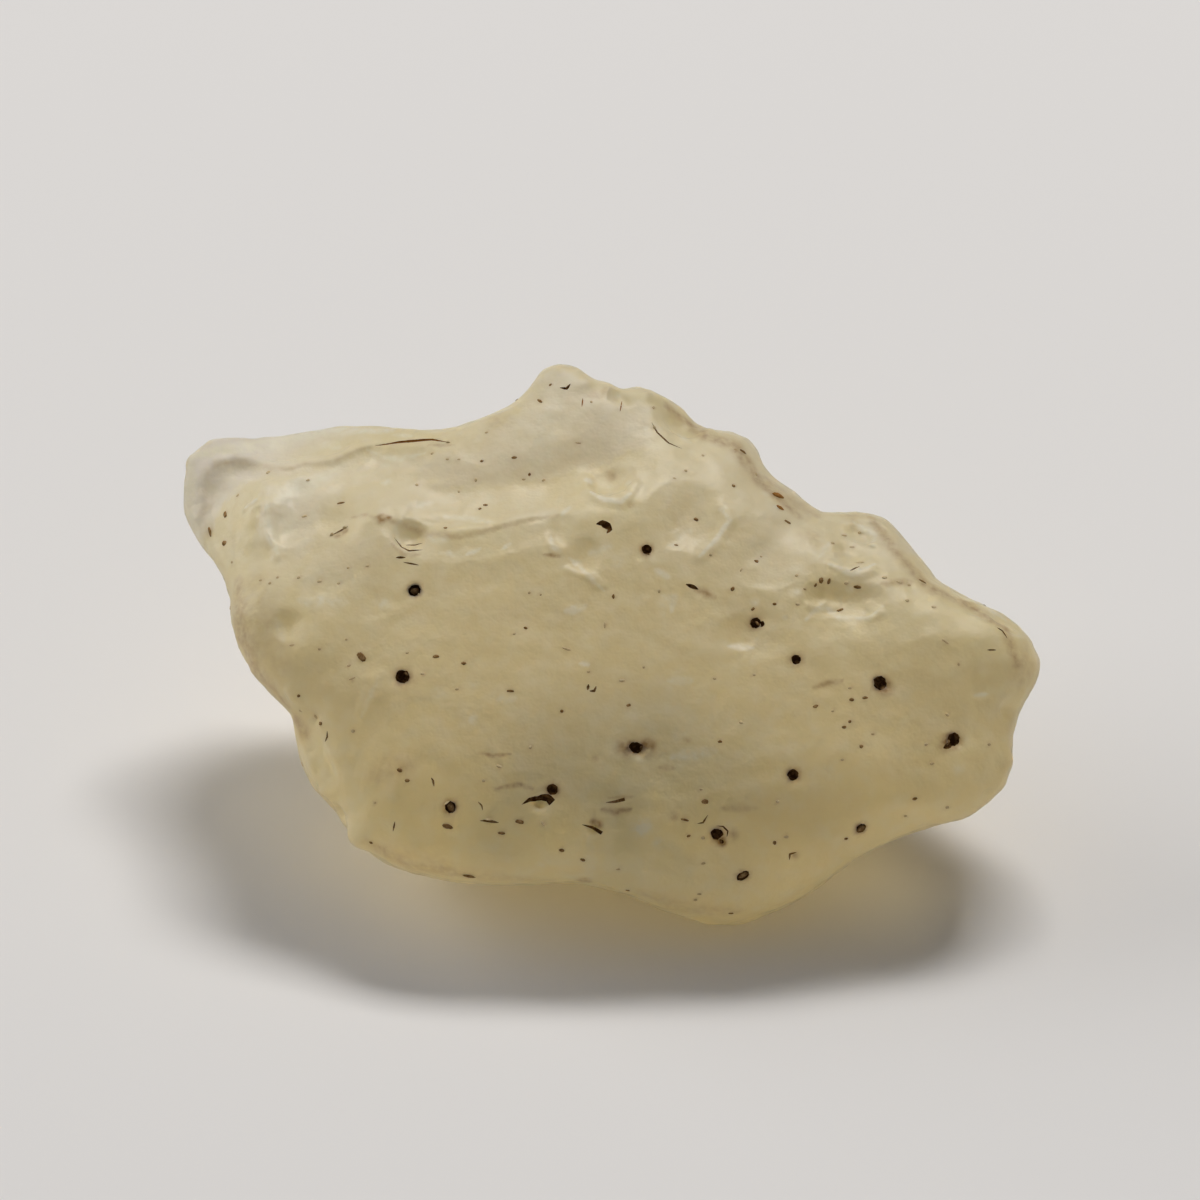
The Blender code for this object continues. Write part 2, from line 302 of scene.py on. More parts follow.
# %% Dishes: path, reach and depth
DISHES = [
    ([(-16.3, 8.3), (-16.2, 6.6)], 1.3, 0.35),
    ([(-13.6, 7.0)], 1.6, 0.25),
    ([(-10.0, 6.0)], 0.9, 0.35),
    ([(-11.6, 10.2), (-9.6, 10.1)], 0.9, 0.25),
    ([(0.55, 8.75)], 1.3, 0.40),
    ([(4.2, 12.1)], 1.55, 0.35),
    ([(4.4, 7.1)], 2.1, 0.35),
    ([(8.6, 5.2)], 2.3, 0.30),
    ([(14.0, 6.2)], 1.2, 0.35),
    ([(13.1, 5.0)], 0.9, 0.30),
    ([(12.2, 2.6), (14.0, 2.5)], 1.0, 0.30),
    ([(11.3, 2.9)], 0.7, 0.20),
    ([(-2.0, 6.3)], 1.0, 0.25),
    ([(-0.9, 4.9)], 1.1, 0.20),
    ([(7.4, 0.9)], 1.0, 0.25),
    ([(-16.4, 1.3)], 0.9, 0.20),
    ([(19.9, -1.8)], 0.8, 0.20),
    ([(19.7, 2.2), (21.6, 1.2)], 0.8, 0.25),
    ([(-15.6, -3.6), (-14.9, -5.2), (-14.4, -6.6)], 0.9, 0.25),
    ([(0.9, 13.3)], 0.6, 0.25),
    ([(-19.0, 9.5), (-17.0, 9.1), (-15.6, 9.4), (-14.0, 9.5), (-12.6, 10.1)], 0.6, 0.15),
    ([(-18.0, 7.2), (-17.9, 6.0), (-17.5, 5.0)], 0.5, 0.15),
    ([(-10.6, 6.3), (-9.2, 5.6), (-7.5, 5.4), (-5.0, 5.9), (-2.8, 6.4)], 0.9, 0.14),
    ([(3.9, 12.3), (4.6, 11.4)], 0.7, 0.20),
]
print("dishes:", len(DISHES), "deepest, mm:", max(depth for _, _, depth in DISHES))

# %% Ridges: path, reach and height
LIP = [(-13.0, 7.2), (-12.3, 7.35), (-11.7, 7.15), (-10.7, 6.95), (-9.8, 6.6), (-9.2, 6.35)]
LIP += [(-8.3, 6.3), (-7.5, 6.15), (-6.8, 6.3), (-5.0, 6.75), (-3.5, 7.1), (-2.2, 7.3)]
LEDGE = [(-12.3, 10.75), (-13.0, 10.5), (-14.0, 10.0), (-15.6, 9.9), (-16.3, 9.65)]
LEDGE += [(-17.2, 9.7), (-19.0, 10.05), (-20.0, 9.9)]
RIM = [(-20.0, 9.9), (-20.7, 9.3), (-20.9, 8.0), (-20.9, 7.0), (-20.5, 5.5), (-19.8, 4.3)]
LEAF = [(-17.5, 7.7), (-17.45, 6.8), (-17.25, 5.8), (-16.9, 5.0)]
SICKLE = [(6.4, 7.4), (6.8, 6.8), (6.1, 5.8), (5.2, 4.9)]
CUP = [(-0.8, 9.0), (-0.6, 8.3), (0.2, 7.9), (1.1, 7.7), (1.6, 8.3), (1.8, 8.7)]
RIDGES = [
    (LIP, 0.4, 0.06),
    (LEDGE, 0.45, 0.10),
    (RIM, 0.6, 0.12),
    (LEAF, 0.45, 0.12),
    ([(-18.6, 7.4), (-17.9, 8.0)], 0.25, 0.08),
    ([(12.1, 4.5), (12.9, 4.1), (13.7, 3.9), (14.3, 4.2)], 0.35, 0.12),
    ([(11.0, 2.3), (12.2, 2.4)], 0.35, 0.10),
    ([(14.2, 2.4), (14.6, 2.0), (14.2, 1.7)], 0.35, 0.10),
    ([(13.2, 6.6), (14.2, 6.4), (14.6, 6.0), (14.3, 5.5)], 0.35, 0.12),
    ([(20.3, 1.9), (20.8, 1.4), (21.7, 1.1)], 0.30, 0.10),
    (SICKLE, 0.45, 0.10),
    (CUP, 0.4, 0.12),
    ([(-2.7, 6.1), (-2.5, 5.4), (-2.1, 5.2)], 0.35, 0.10),
    ([(-1.5, 4.2), (-0.7, 4.0), (0.1, 3.4)], 0.35, 0.10),
    ([(-11.6, -1.4), (-12.5, -3.4)], 0.5, 0.08),
]
print("ridges:", len(RIDGES))

# %% Tugs at the rim: path, move along u and v, and reach
TUGS = [
    ([(-15.9, -2.2)], (-0.30, -0.10), 0.9),
    ([(-15.2, -3.5)], (0.30, 0.05), 0.7),
    ([(-14.3, -7.2)], (-0.40, -0.15), 1.0),
    ([(-13.6, -8.5)], (0.35, 0.25), 0.6),
    ([(-12.6, -9.7)], (-0.50, -0.35), 1.4),
    ([(-0.9, 13.9)], (0.15, 0.20), 0.6),
    ([(0.6, 13.5)], (0.05, 0.30), 0.6),
    ([(1.6, 13.1)], (-0.05, -0.30), 0.5),
    ([(2.4, 13.3)], (0.10, 0.25), 0.6),
    ([(5.6, 11.4)], (0.15, 0.20), 0.8),
    ([(21.5, -3.2)], (-0.45, 0.0), 0.9),
    ([(21.3, -5.8)], (0.25, -0.10), 1.0),
    ([(20.3, -7.7)], (-0.20, 0.25), 0.6),
    ([(-21.9, 6.0)], (-0.15, -0.05), 0.9),
    ([(-17.6, 10.9)], (0.0, 0.20), 0.9),
]
print("tugs:", len(TUGS))

# %% Milky marks, painted highlights and painted light: path, reach and strength
# Those that trace the ridges and rims are painted highlights: the bright crescents where they catch the
# light. The rest are milky flecks in the glass.
MILKY_AND_HIGHLIGHTS = [
    ([(-13.9, 9.3), (-15.1, 8.8), (-16.2, 8.0)], 1.15, 0.4),
    ([(-15.5, 9.0), (-16.6, 8.2), (-17.0, 7.6)], 0.47, 0.45),
    ([(-17.5, 7.6), (-17.4, 6.6), (-17.2, 5.7), (-16.9, 5.1)], 0.36, 0.8),
    ([(-16.2, 6.6)], 1.05, 0.25),
    ([(-11.2, 8.8)], 0.37, 0.55),
    ([(-9.5, 7.5), (-8.9, 7.7)], 0.42, 0.5),
    ([(-8.1, 7.0), (-6.8, 6.9), (-5.6, 6.7)], 0.42, 0.4),
    ([(-8.9, 8.1), (-5.2, 7.9)], 1.15, 0.15),
    ([(-12.2, 10.5), (-11.3, 10.1), (-10.5, 10.0), (-9.2, 10.3)], 0.24, 0.6),
    ([(-14.8, 10.9), (-13.7, 10.6)], 0.47, 0.4),
    ([(-10.7, 11.3), (-9.9, 11.2)], 0.31, 0.4),
    ([(-21.4, 9.9), (-21.7, 7.6), (-20.8, 5.2)], 0.68, 0.35),
    ([(-10.4, 6.9), (-10.7, 6.3), (-10.5, 5.6)], 0.24, 0.5),
    ([(-8.9, 6.0), (-8.1, 5.8)], 0.47, 0.45),
    ([(-8.4, 5.1), (-7.2, 4.9)], 0.31, 0.25),
    ([(-7.0, 5.0), (-6.3, 5.3)], 0.21, 0.85),
    ([(-5.1, 5.3), (-4.7, 5.6)], 0.18, 0.85),
    ([(-7.9, 5.1)], 0.21, 0.5),
    ([(-0.6, 8.9)], 0.34, 0.8),
    ([(-0.5, 8.3), (0.2, 7.9), (1.1, 7.8), (1.6, 8.2)], 0.24, 0.75),
    ([(1.5, 8.8)], 0.31, 0.4),
    ([(0.5, 8.5)], 0.68, 0.25),
    ([(-2.0, 7.1), (-1.6, 7.5)], 0.24, 0.6),
    (SICKLE, 0.21, 0.7),
    ([(6.4, 7.4)], 0.29, 0.5),
    ([(4.8, 6.3), (3.6, 5.5)], 0.37, 0.3),
    ([(-2.6, 6.0), (-2.5, 5.4), (-2.1, 5.1)], 0.21, 0.5),
    ([(-1.6, 4.8), (-0.8, 4.1), (0.2, 3.1)], 0.21, 0.55),
    ([(-1.2, 4.5)], 0.31, 0.5),
    ([(-0.5, 5.1), (0.5, 5.4)], 0.47, 0.35),
    ([(0.0, 5.9)], 0.63, 0.25),
    ([(2.9, 4.2), (3.6, 3.8)], 0.29, 0.6),
    ([(0.9, 4.6)], 0.68, 0.25),
    ([(3.2, 2.8), (3.9, 2.8), (3.75, 2.0)], 0.26, 0.5),
    ([(3.4, 2.5)], 0.52, 0.3),
    ([(-1.8, 2.0), (-0.8, 2.3)], 0.37, 0.6),
    ([(-1.0, -0.7), (-0.6, -0.8)], 0.21, 1.0),
    ([(3.6, -1.6), (4.8, -1.6)], 0.37, 0.4),
    ([(-8.4, -2.3)], 0.58, 0.3),
    ([(-6.7, -1.7)], 0.52, 0.22),
    ([(-5.3, -2.6), (-4.5, -2.5)], 0.42, 0.35),
    ([(-6.7, -3.6)], 0.42, 0.5),
    ([(-15.7, 2.6), (-13.4, 2.5)], 0.63, 0.4),
    ([(-14.6, 2.6)], 0.31, 0.45),
    ([(-11.3, 2.4)], 0.42, 0.45),
    ([(-13.1, 3.7), (-15.2, 3.9)], 1.15, 0.2),
    ([(-17.0, 1.6), (-16.6, 0.5)], 0.42, 0.35),
    ([(-11.6, -1.4), (-12.5, -3.5)], 0.26, 0.3),
    ([(2.2, -9.3)], 0.68, 0.75),
    ([(3.1, -10.1)], 0.47, 0.4),
    ([(-0.6, -9.9), (-0.5, -12.1)], 0.47, 0.25),
    ([(-3.1, -11.3)], 0.37, 0.2),
    ([(3.8, -5.6), (6.0, -5.3)], 0.47, 0.35),
    ([(-2.0, -5.0)], 0.63, 0.2),
    ([(0.2, -6.2)], 0.52, 0.18),
    ([(10.1, -5.0)], 0.42, 0.2),
    ([(12.0, -6.4)], 0.58, 0.25),
    ([(18.8, -6.2)], 0.52, 0.3),
    ([(19.6, -2.4), (20.3, -2.3)], 0.21, 0.5),
    ([(13.3, 6.7), (14.4, 6.1), (14.3, 5.5)], 0.31, 0.55),
    ([(12.0, 5.6), (11.5, 4.9)], 0.31, 0.4),
    ([(13.2, 5.8)], 0.89, 0.3),
    ([(12.0, 4.5), (13.2, 4.0), (14.4, 4.5)], 0.26, 0.65),
    ([(10.3, 3.0)], 0.47, 0.4),
    ([(10.8, 1.6), (11.6, 2.3), (12.6, 1.7), (14.1, 1.7), (14.8, 2.3)], 0.31, 0.5),
    ([(13.1, 3.2)], 0.31, 0.5),
    ([(12.7, 2.5)], 1.05, 0.2),
    ([(6.7, 0.2), (8.0, 0.1)], 0.26, 0.6),
    ([(8.4, 0.5)], 0.94, 0.2),
    ([(8.1, 2.5)], 0.31, 0.5),
    ([(9.7, 1.7)], 0.21, 0.35),
    ([(0.9, 13.3)], 0.26, 0.9),
    ([(2.4, 11.6)], 0.21, 0.7),
    ([(3.8, 11.5), (4.7, 10.9)], 0.31, 0.3),
    ([(-3.4, 9.4), (-2.9, 12.1), (-2.1, 13.9)], 1.36, 0.28),
    ([(0.0, 11.0)], 1.36, 0.12),
    ([(8.7, 8.2)], 0.31, 0.5),
    ([(9.2, 7.5)], 0.21, 0.5),
    ([(18.5, 3.0), (20.2, 2.3), (21.5, 1.4)], 0.26, 0.4),
    ([(-17.9, 8.0), (-18.6, 7.45)], 0.16, 0.5),
    # Painted light: the lobe's left rim made lighter.
    ([(-21.5, 9.8), (-21.6, 8.0), (-21.2, 6.2), (-20.6, 5.0)], 0.75, 0.4),
    ([(-17.8, 3.1), (-18.6, 2.6)], 0.52, 0.2),
    # Painted light: a lighter band along the top of the lobe.
    ([(-21.4, 10.2), (-17.5, 10.8), (-14.6, 11.5), (-11.0, 11.5)], 0.75, 0.6),
]
print("milky marks:", len(MILKY_AND_HIGHLIGHTS))


# %% Stains of soil, painted shade and darker bands along the outline: path, reach and strength
def moved(path, along, up):
    """The same path, moved along u and v."""
    return [(u + along, v + up) for u, v in path]


STAINS_AND_SHADE = [
    ([(14.9, -2.0)], 0.45, 0.7),
    ([(18.2, -4.9)], 0.45, 0.6),
    ([(1.3, -5.15)], 0.45, 0.6),
    ([(2.5, -5.1)], 0.45, 0.75),
    ([(5.0, 3.2), (5.5, 3.0), (6.0, 2.75)], 0.25, 0.45),
    ([(-11.65, 7.0), (-11.0, 6.95)], 0.22, 0.6),
    ([(-11.5, 6.75)], 0.22, 0.55),
    ([(-13.8, 5.95), (-13.3, 6.25)], 0.26, 0.55),
    ([(-6.4, -5.4), (-5.5, -5.55), (-4.7, -5.45)], 0.13, 0.45),
    ([(-5.5, -7.3), (-4.9, -7.15), (-4.2, -7.05), (-3.5, -7.3)], 0.15, 0.5),
    ([(0.1, -8.35), (0.9, -8.5), (1.6, -8.35)], 0.20, 0.5),
    ([(0.6, -7.75), (1.7, -7.7)], 0.12, 0.35),
    ([(6.4, -8.3), (8.2, -8.3)], 0.22, 0.22),
    ([(3.1, -6.15), (3.9, -6.2)], 0.18, 0.3),
    ([(-0.25, -5.7)], 0.18, 0.35),
    ([(11.2, -1.95), (12.0, -1.75), (12.7, -1.6)], 0.22, 0.4),
    ([(-0.8, -12.1)], 0.40, 0.5),
    ([(3.85, -8.7)], 0.24, 0.4),
    ([(4.6, -4.7)], 0.18, 0.35),
    ([(-12.0, -6.6), (-9.9, -5.9)], 0.84, 0.14),
    ([(-16.0, -3.6), (-15.4, -4.4)], 0.60, 0.35),
    ([(-14.4, -7.8)], 0.80, 0.18),
    # The next nine marks make the glass darker in bands along the outline.
    ([(3.5, 12.8), (5.5, 11.2), (7.1, 10.7), (8.4, 8.8), (10.4, 7.0)], 0.50, 0.42),
    ([(14.1, 7.1), (15.6, 5.0), (17.2, 3.3), (19.0, 2.5), (21.2, 1.2), (21.9, -0.8)], 0.50, 0.40),
    ([(-12.3, -10.0), (-10.0, -11.4), (-6.0, -11.9), (-2.5, -12.1)], 0.50, 0.15),
    ([(2.1, -12.7), (4.5, -13.6), (7.2, -13.7)], 0.70, 0.15),
    ([(-19.0, 3.6), (-18.9, 1.0), (-18.0, -1.2), (-16.4, -2.9)], 0.80, 0.30),
    ([(-18.2, 3.6), (-17.8, 1.0), (-16.8, -1.0)], 1.60, 0.12),
    ([(-11.8, -10.4), (-7.3, -11.7)], 0.84, 0.15),
    ([(-0.5, 13.4), (0.3, 13.6)], 0.50, 0.25),
    ([(22.3, 0.0), (22.0, -1.6)], 0.94, 0.16),
    ([(8.7, 9.0), (10.3, 7.7), (11.4, 7.0)], 0.60, 0.22),
    ([(-5.4, 12.1)], 0.80, 0.15),
    ([(13.2, 7.0)], 0.60, 0.20),
    ([(11.1, 5.9)], 0.80, 0.15),
    ([(-0.4, -9.0), (0.0, -9.2)], 0.28, 0.75),
    ([(14.8, 3.5), (16.4, 3.6)], 0.30, 0.30),
    ([(0.6, 9.1)], 0.35, 0.30),
    ([(6.9, -9.7)], 0.35, 0.40),
    ([(2.45, 4.98)], 0.26, 0.45),
    ([(1.6, 7.6)], 0.20, 0.40),
    ([(-2.9, 5.0), (-2.1, 4.9)], 0.13, 0.60),
    ([(-9.0, 10.75), (-7.8, 10.75)], 0.16, 0.35),
    ([(11.6, 3.5)], 0.40, 0.10),
    ([(10.2, -10.8)], 0.25, 0.40),
    ([(-10.9, 5.6), (-10.3, 5.0), (-9.4, 5.0)], 0.16, 0.30),
    # Painted shade: thin darker lines just below the lip and the ledge, and beside the lobe's rim.
    (moved(LIP, 0.0, -0.25), 0.20, 0.25),
    (moved(LEDGE, 0.0, -0.15), 0.16, 0.15),
    (moved(RIM, 0.15, 0.0), 0.20, 0.08),
]
print("stains:", len(STAINS_AND_SHADE))


# %% Points near a mark
TIP = 0.4


def near(tree, spots, reach):
    """The points near a path of spots, and how close, 0 to 1. The reach tapers at both ends."""
    closeness = {}
    for step, (place, _) in enumerate(spots):
        middle = math.sin(math.pi * (step + 0.5) / len(spots))
        taper = reach * (TIP + (1.0 - TIP) * middle) * MM
        for _, index, away in tree.find_range(place, taper):
            closeness[index] = max(closeness.get(index, 0.0), 1.0 - away / taper)
    return closeness


def select_points(obj, indices):
    """Selects these points of the object that is being edited, and no others."""
    bpy.ops.mesh.select_all(action="DESELECT")
    mesh = bmesh.from_edit_mesh(obj.data)
    mesh.verts.ensure_lookup_table()
    for index in indices:
        mesh.verts[index].select_set(True)
    mesh.select_flush_mode()
    bmesh.update_edit_mesh(obj.data)


points = points_of(lump)
print("points near the peak:", len(near(points, [seen_spot(*PEAK)], FACET)))

# %% Splitting facets under fine marks
FINE = 0.5
MARGIN = 2 * FACET

fine_paths = [(path, reach) for path, reach, _ in RIDGES + MILKY_AND_HIGHLIGHTS + STAINS_AND_SHADE if reach < FINE]
wanted = set()
for path, reach in fine_paths:
    wanted.update(near(points, traced(path, reach / 2), reach + MARGIN))
only(lump)
bpy.ops.object.mode_set(mode="EDIT")
bpy.context.tool_settings.mesh_select_mode = (True, False, False)
select_points(lump, wanted)
bpy.ops.mesh.subdivide(number_cuts=1, ngon=False, quadcorner="INNERVERT")
bpy.ops.object.mode_set(mode="OBJECT")
print("fine paths:", len(fine_paths), "triangles:", count(lump))


# %% Pressing and tugging the skin
STEPS_PER_REACH = 3


def shift(spots, move, reach, falloff):
    """Moves the skin at these spots by hand, and less and less around them."""
    select_points(lump, [points.find(place)[1] for place, _ in spots])
    bpy.ops.transform.translate(
        value=move * MM,
        use_proportional_edit=True,
        proportional_edit_falloff=falloff,
        proportional_size=reach * MM,
    )


def press(path, reach, depth):
    """Pushes the skin in along a path of (u, v), or pulls it out where depth is negative."""
    spots = traced(path, reach / STEPS_PER_REACH)
    facing = sum((normal for _, normal in spots), Vector()).normalized()
    shift(spots, facing * -depth, reach, "INVERSE_SQUARE")


def tug(path, move, reach):
    """Pulls the rim sideways, which shapes the outline that the broad face shows."""
    shift(traced(path, reach), SLAB.to_3x3() @ Vector((*move, 0)), reach, "SMOOTH")


points = points_of(lump)
print("points to work with:", len(lump.data.vertices))

# %% Dice for the sides and the back
SEED = 11
TURNED_AWAY = -0.1
OFF_THE_FLOOR = 2.5

dice = random.Random(SEED)


def look_elsewhere(how_many):
    """Spots picked by dice on the sides and the back, well off the floor."""
    spots = []
    while len(spots) < how_many:
        face = lump.data.polygons[dice.randrange(len(lump.data.polygons))]
        if face.normal.dot(OUTWARD) < TURNED_AWAY and face.center.z > OFF_THE_FLOOR * MM:
            spots.append((face.center.copy(), face.normal.copy()))
    return spots


OTHER_DISHES = 26
other_spots = look_elsewhere(OTHER_DISHES)
print("dishes out of sight:", len(other_spots))

# %% Wearing the whole skin
OTHER_REACHES = (1.2, 3.2)
OTHER_DEPTH = 0.17

only(lump)
bpy.ops.object.mode_set(mode="EDIT")
for path, reach, depth in DISHES:
    press(path, reach, depth)
for place, normal in other_spots:
    reach = dice.uniform(*OTHER_REACHES)
    shift([(place, normal)], normal * -OTHER_DEPTH * reach, reach, "INVERSE_SQUARE")
for path, reach, height in RIDGES:
    press(path, reach, -height)
for path, move, reach in TUGS:
    tug(path, move, reach)
bpy.ops.object.mode_set(mode="OBJECT")
print("moves of the hand:", len(DISHES) + OTHER_DISHES + len(RIDGES) + len(TUGS))

# %% [markdown]
# ## A rippled skin
#
# Between the dishes the worn skin is never quite even. Displace modifiers with cloudy noise stand
# for its ripples, one broad and one fine, and neither moves the skin by more than about an eighth
# of a millimetre. Last, every point is kept inside the solid's own box, so that no ripple reaches
# into the floor.

# %% Ripples: spacing and height
RIPPLES = [(2.2, 0.26), (0.8, 0.10)]

for spacing, height in RIPPLES:
    ripple = bpy.data.textures.new("ripple", "CLOUDS")
    ripple.noise_scale = spacing * MM
    finish_modifier(
        lump, "ripple", "DISPLACE", texture=ripple, texture_coords="LOCAL", strength=height * MM
    )
print("ripples:", RIPPLES)

# %% Keeping inside the solid's box
low, high = cad_box
for vert in lump.data.vertices:
    vert.co = [min(max(side, low[axis]), high[axis]) for axis, side in enumerate(vert.co)]
seen_skin = skin_of(lump)
print("the peak is now at, mm:", in_mm(seen_spot(*PEAK)[0]))

# %% [markdown]
# ## Burst bubbles and cracks
#
# Gas bubbles in the glass were opened by the wind, and soil has packed into them. Each is cut
# with a Boolean: a ball for a bubble, and for a crack a thin tube that is pointed at one end or
# both. The tools carry the soil's material, and the Boolean passes it on to the walls it cuts.

# %% Soil: dark colour, light colour and spacing of its patches
SOILS = {
    "dark_soil": ((0.090, 0.040, 0.014, 1.0), (0.34, 0.18, 0.065, 1.0), 0.25),
    "brown_soil": ((0.20, 0.11, 0.042, 1.0), (0.46, 0.30, 0.14, 1.0), 0.15),
    "faded_soil": ((0.58, 0.45, 0.26, 1.0), (0.74, 0.62, 0.40, 1.0), 0.15),
    "rusty_soil": ((0.30, 0.13, 0.035, 1.0), (0.48, 0.27, 0.09, 1.0), 0.3),
}
SOIL_ROUGHNESS = 0.9
SOIL_DETAIL = 3.0
ALL_DARK_UP_TO = 0.45
ALL_LIGHT_FROM = 0.75


def noise(tree, spacing, detail):
    """Noise with this many millimetres from one cloud to the next."""
    coordinates = tree.nodes.new("ShaderNodeTexCoord")
    node = tree.nodes.new("ShaderNodeTexNoise")
    node.inputs["Scale"].default_value = 1.0 / (spacing * MM)
    node.inputs["Detail"].default_value = detail
    tree.links.new(coordinates.outputs["Object"], node.inputs["Vector"])
    return node.outputs["Fac"]


def soil(name):
    """Dry soil in patches of two colours."""
    dark, light, spacing = SOILS[name]
    material = plain_material(name, dark, SOIL_ROUGHNESS, 0.0)
    tree = material.node_tree
    colours = tree.nodes.new("ShaderNodeValToRGB")
    colours.color_ramp.elements[0].position = ALL_DARK_UP_TO
    colours.color_ramp.elements[0].color = dark
    colours.color_ramp.elements[1].position = ALL_LIGHT_FROM
    colours.color_ramp.elements[1].color = light
    tree.links.new(noise(tree, spacing, SOIL_DETAIL), colours.inputs["Fac"])
    shader = tree.nodes["Principled BSDF"]
    tree.links.new(colours.outputs["Color"], shader.inputs["Base Color"])
    return material


dark_soil = soil("dark_soil")
brown_soil = soil("brown_soil")
faded_soil = soil("faded_soil")
rusty_soil = soil("rusty_soil")
print("soils:", list(SOILS))


# %% Setting a tool down on the stone
ALONG = SLAB.to_3x3() @ Vector((1, 0, 0))


def knocked(model, shortest, longest):
    """Moves each point of a round model in or out by dice, so that no two copies are alike."""
    for vert in model.data.vertices:
        vert.co = vert.co.normalized() * dice.uniform(shortest, longest) * MM


def set_down(model, place, normal, twist, scale):
    """A copy of a model, with its own mesh, stood on the skin with its length along u."""
    copy = model.copy()
    copy.data = model.data.copy()
    bpy.context.scene.collection.objects.link(copy)
    across = normal.cross(ALONG).normalized()
    turn = Matrix((across.cross(normal), across, normal)).transposed().to_4x4()
    turn = turn @ Matrix.Rotation(twist, 4, "Z")
    copy.data.transform(Matrix.Translation(place) @ turn @ Matrix.Diagonal((*scale, 1.0)))
    return copy


def joined(pieces, name):
    """The pieces as one object."""
    bpy.ops.object.select_all(action="DESELECT")
    for piece in pieces:
        piece.select_set(True)
    bpy.context.view_layer.objects.active = pieces[0]
    bpy.ops.object.join()
    pieces[0].name = name
    return pieces[0]


print("the slab's length runs along", list(ALONG))

# %% A tool for cracks, and the cut
CRACK_STEP = 0.15
CRACK_ROUNDNESS = 2
FIRST_POINT = 0.3
BLUNT_SHARE = 0.6


def crack_tool(path, widest, filling, blunt):
    """A tube through the skin along a path of (u, v). A blunt one is widest at its far end."""
    curve = bpy.data.curves.new("crack", "CURVE")
    curve.dimensions = "3D"
    curve.bevel_depth = widest * MM
    curve.bevel_resolution = CRACK_ROUNDNESS
    curve.use_fill_caps = True
    curve.materials.append(filling)
    places = [place for place, _ in traced(path, CRACK_STEP)]
    whole = len(places) - 1 + 2 * FIRST_POINT
    spline = curve.splines.new("POLY")
    spline.points.add(len(places) - 1)
    for index, (point, place) in enumerate(zip(spline.points, places)):
        share = (index + FIRST_POINT) / whole
        point.co = (*place, 1.0)
        point.radius = math.sin(math.pi * (share * BLUNT_SHARE if blunt else share))
    tool = bpy.data.objects.new("crack", curve)
    bpy.context.scene.collection.objects.link(tool)
    only(tool)
    bpy.ops.object.convert(target="MESH")
    return bpy.context.object


def cut_away(obj, tool):
    """Cuts the tool's shape out of the object. The walls get the tool's material."""
    ways = {"operation": "DIFFERENCE", "solver": "EXACT", "material_mode": "TRANSFER"}
    finish_modifier(obj, "cut", "BOOLEAN", object=tool, **ways)
    bpy.data.objects.remove(tool)


print("a crack's points are, mm apart:", CRACK_STEP)

# %% Bubbles: u, v, radius, stretch and twist in degrees
BUBBLES = [
    (-9.70, 3.05, 0.40, 1.0, 0),
    (-10.36, -1.42, 0.38, 1.0, 0),
    (2.45, 5.27, 0.27, 1.0, 0),
    (8.15, 1.42, 0.29, 1.0, 0),
    (10.28, -0.50, 0.25, 1.0, 0),
    (14.68, -1.75, 0.38, 1.0, 0),
    (18.52, -4.70, 0.37, 1.0, 0),
    (10.12, -6.55, 0.31, 1.0, 0),
    (1.85, -5.13, 0.32, 1.5, 0),
    (6.13, -9.62, 0.33, 1.1, 0),
    (7.48, -11.85, 0.25, 1.45, 35),
    (-7.85, -8.22, 0.30, 1.15, -60),
    (-2.50, -7.30, 0.29, 1.0, 0),
    (13.68, -9.35, 0.26, 1.1, 30),
    (6.40, -10.05, 0.10, 1.0, 0),
]
print("bubbles:", len(BUBBLES))

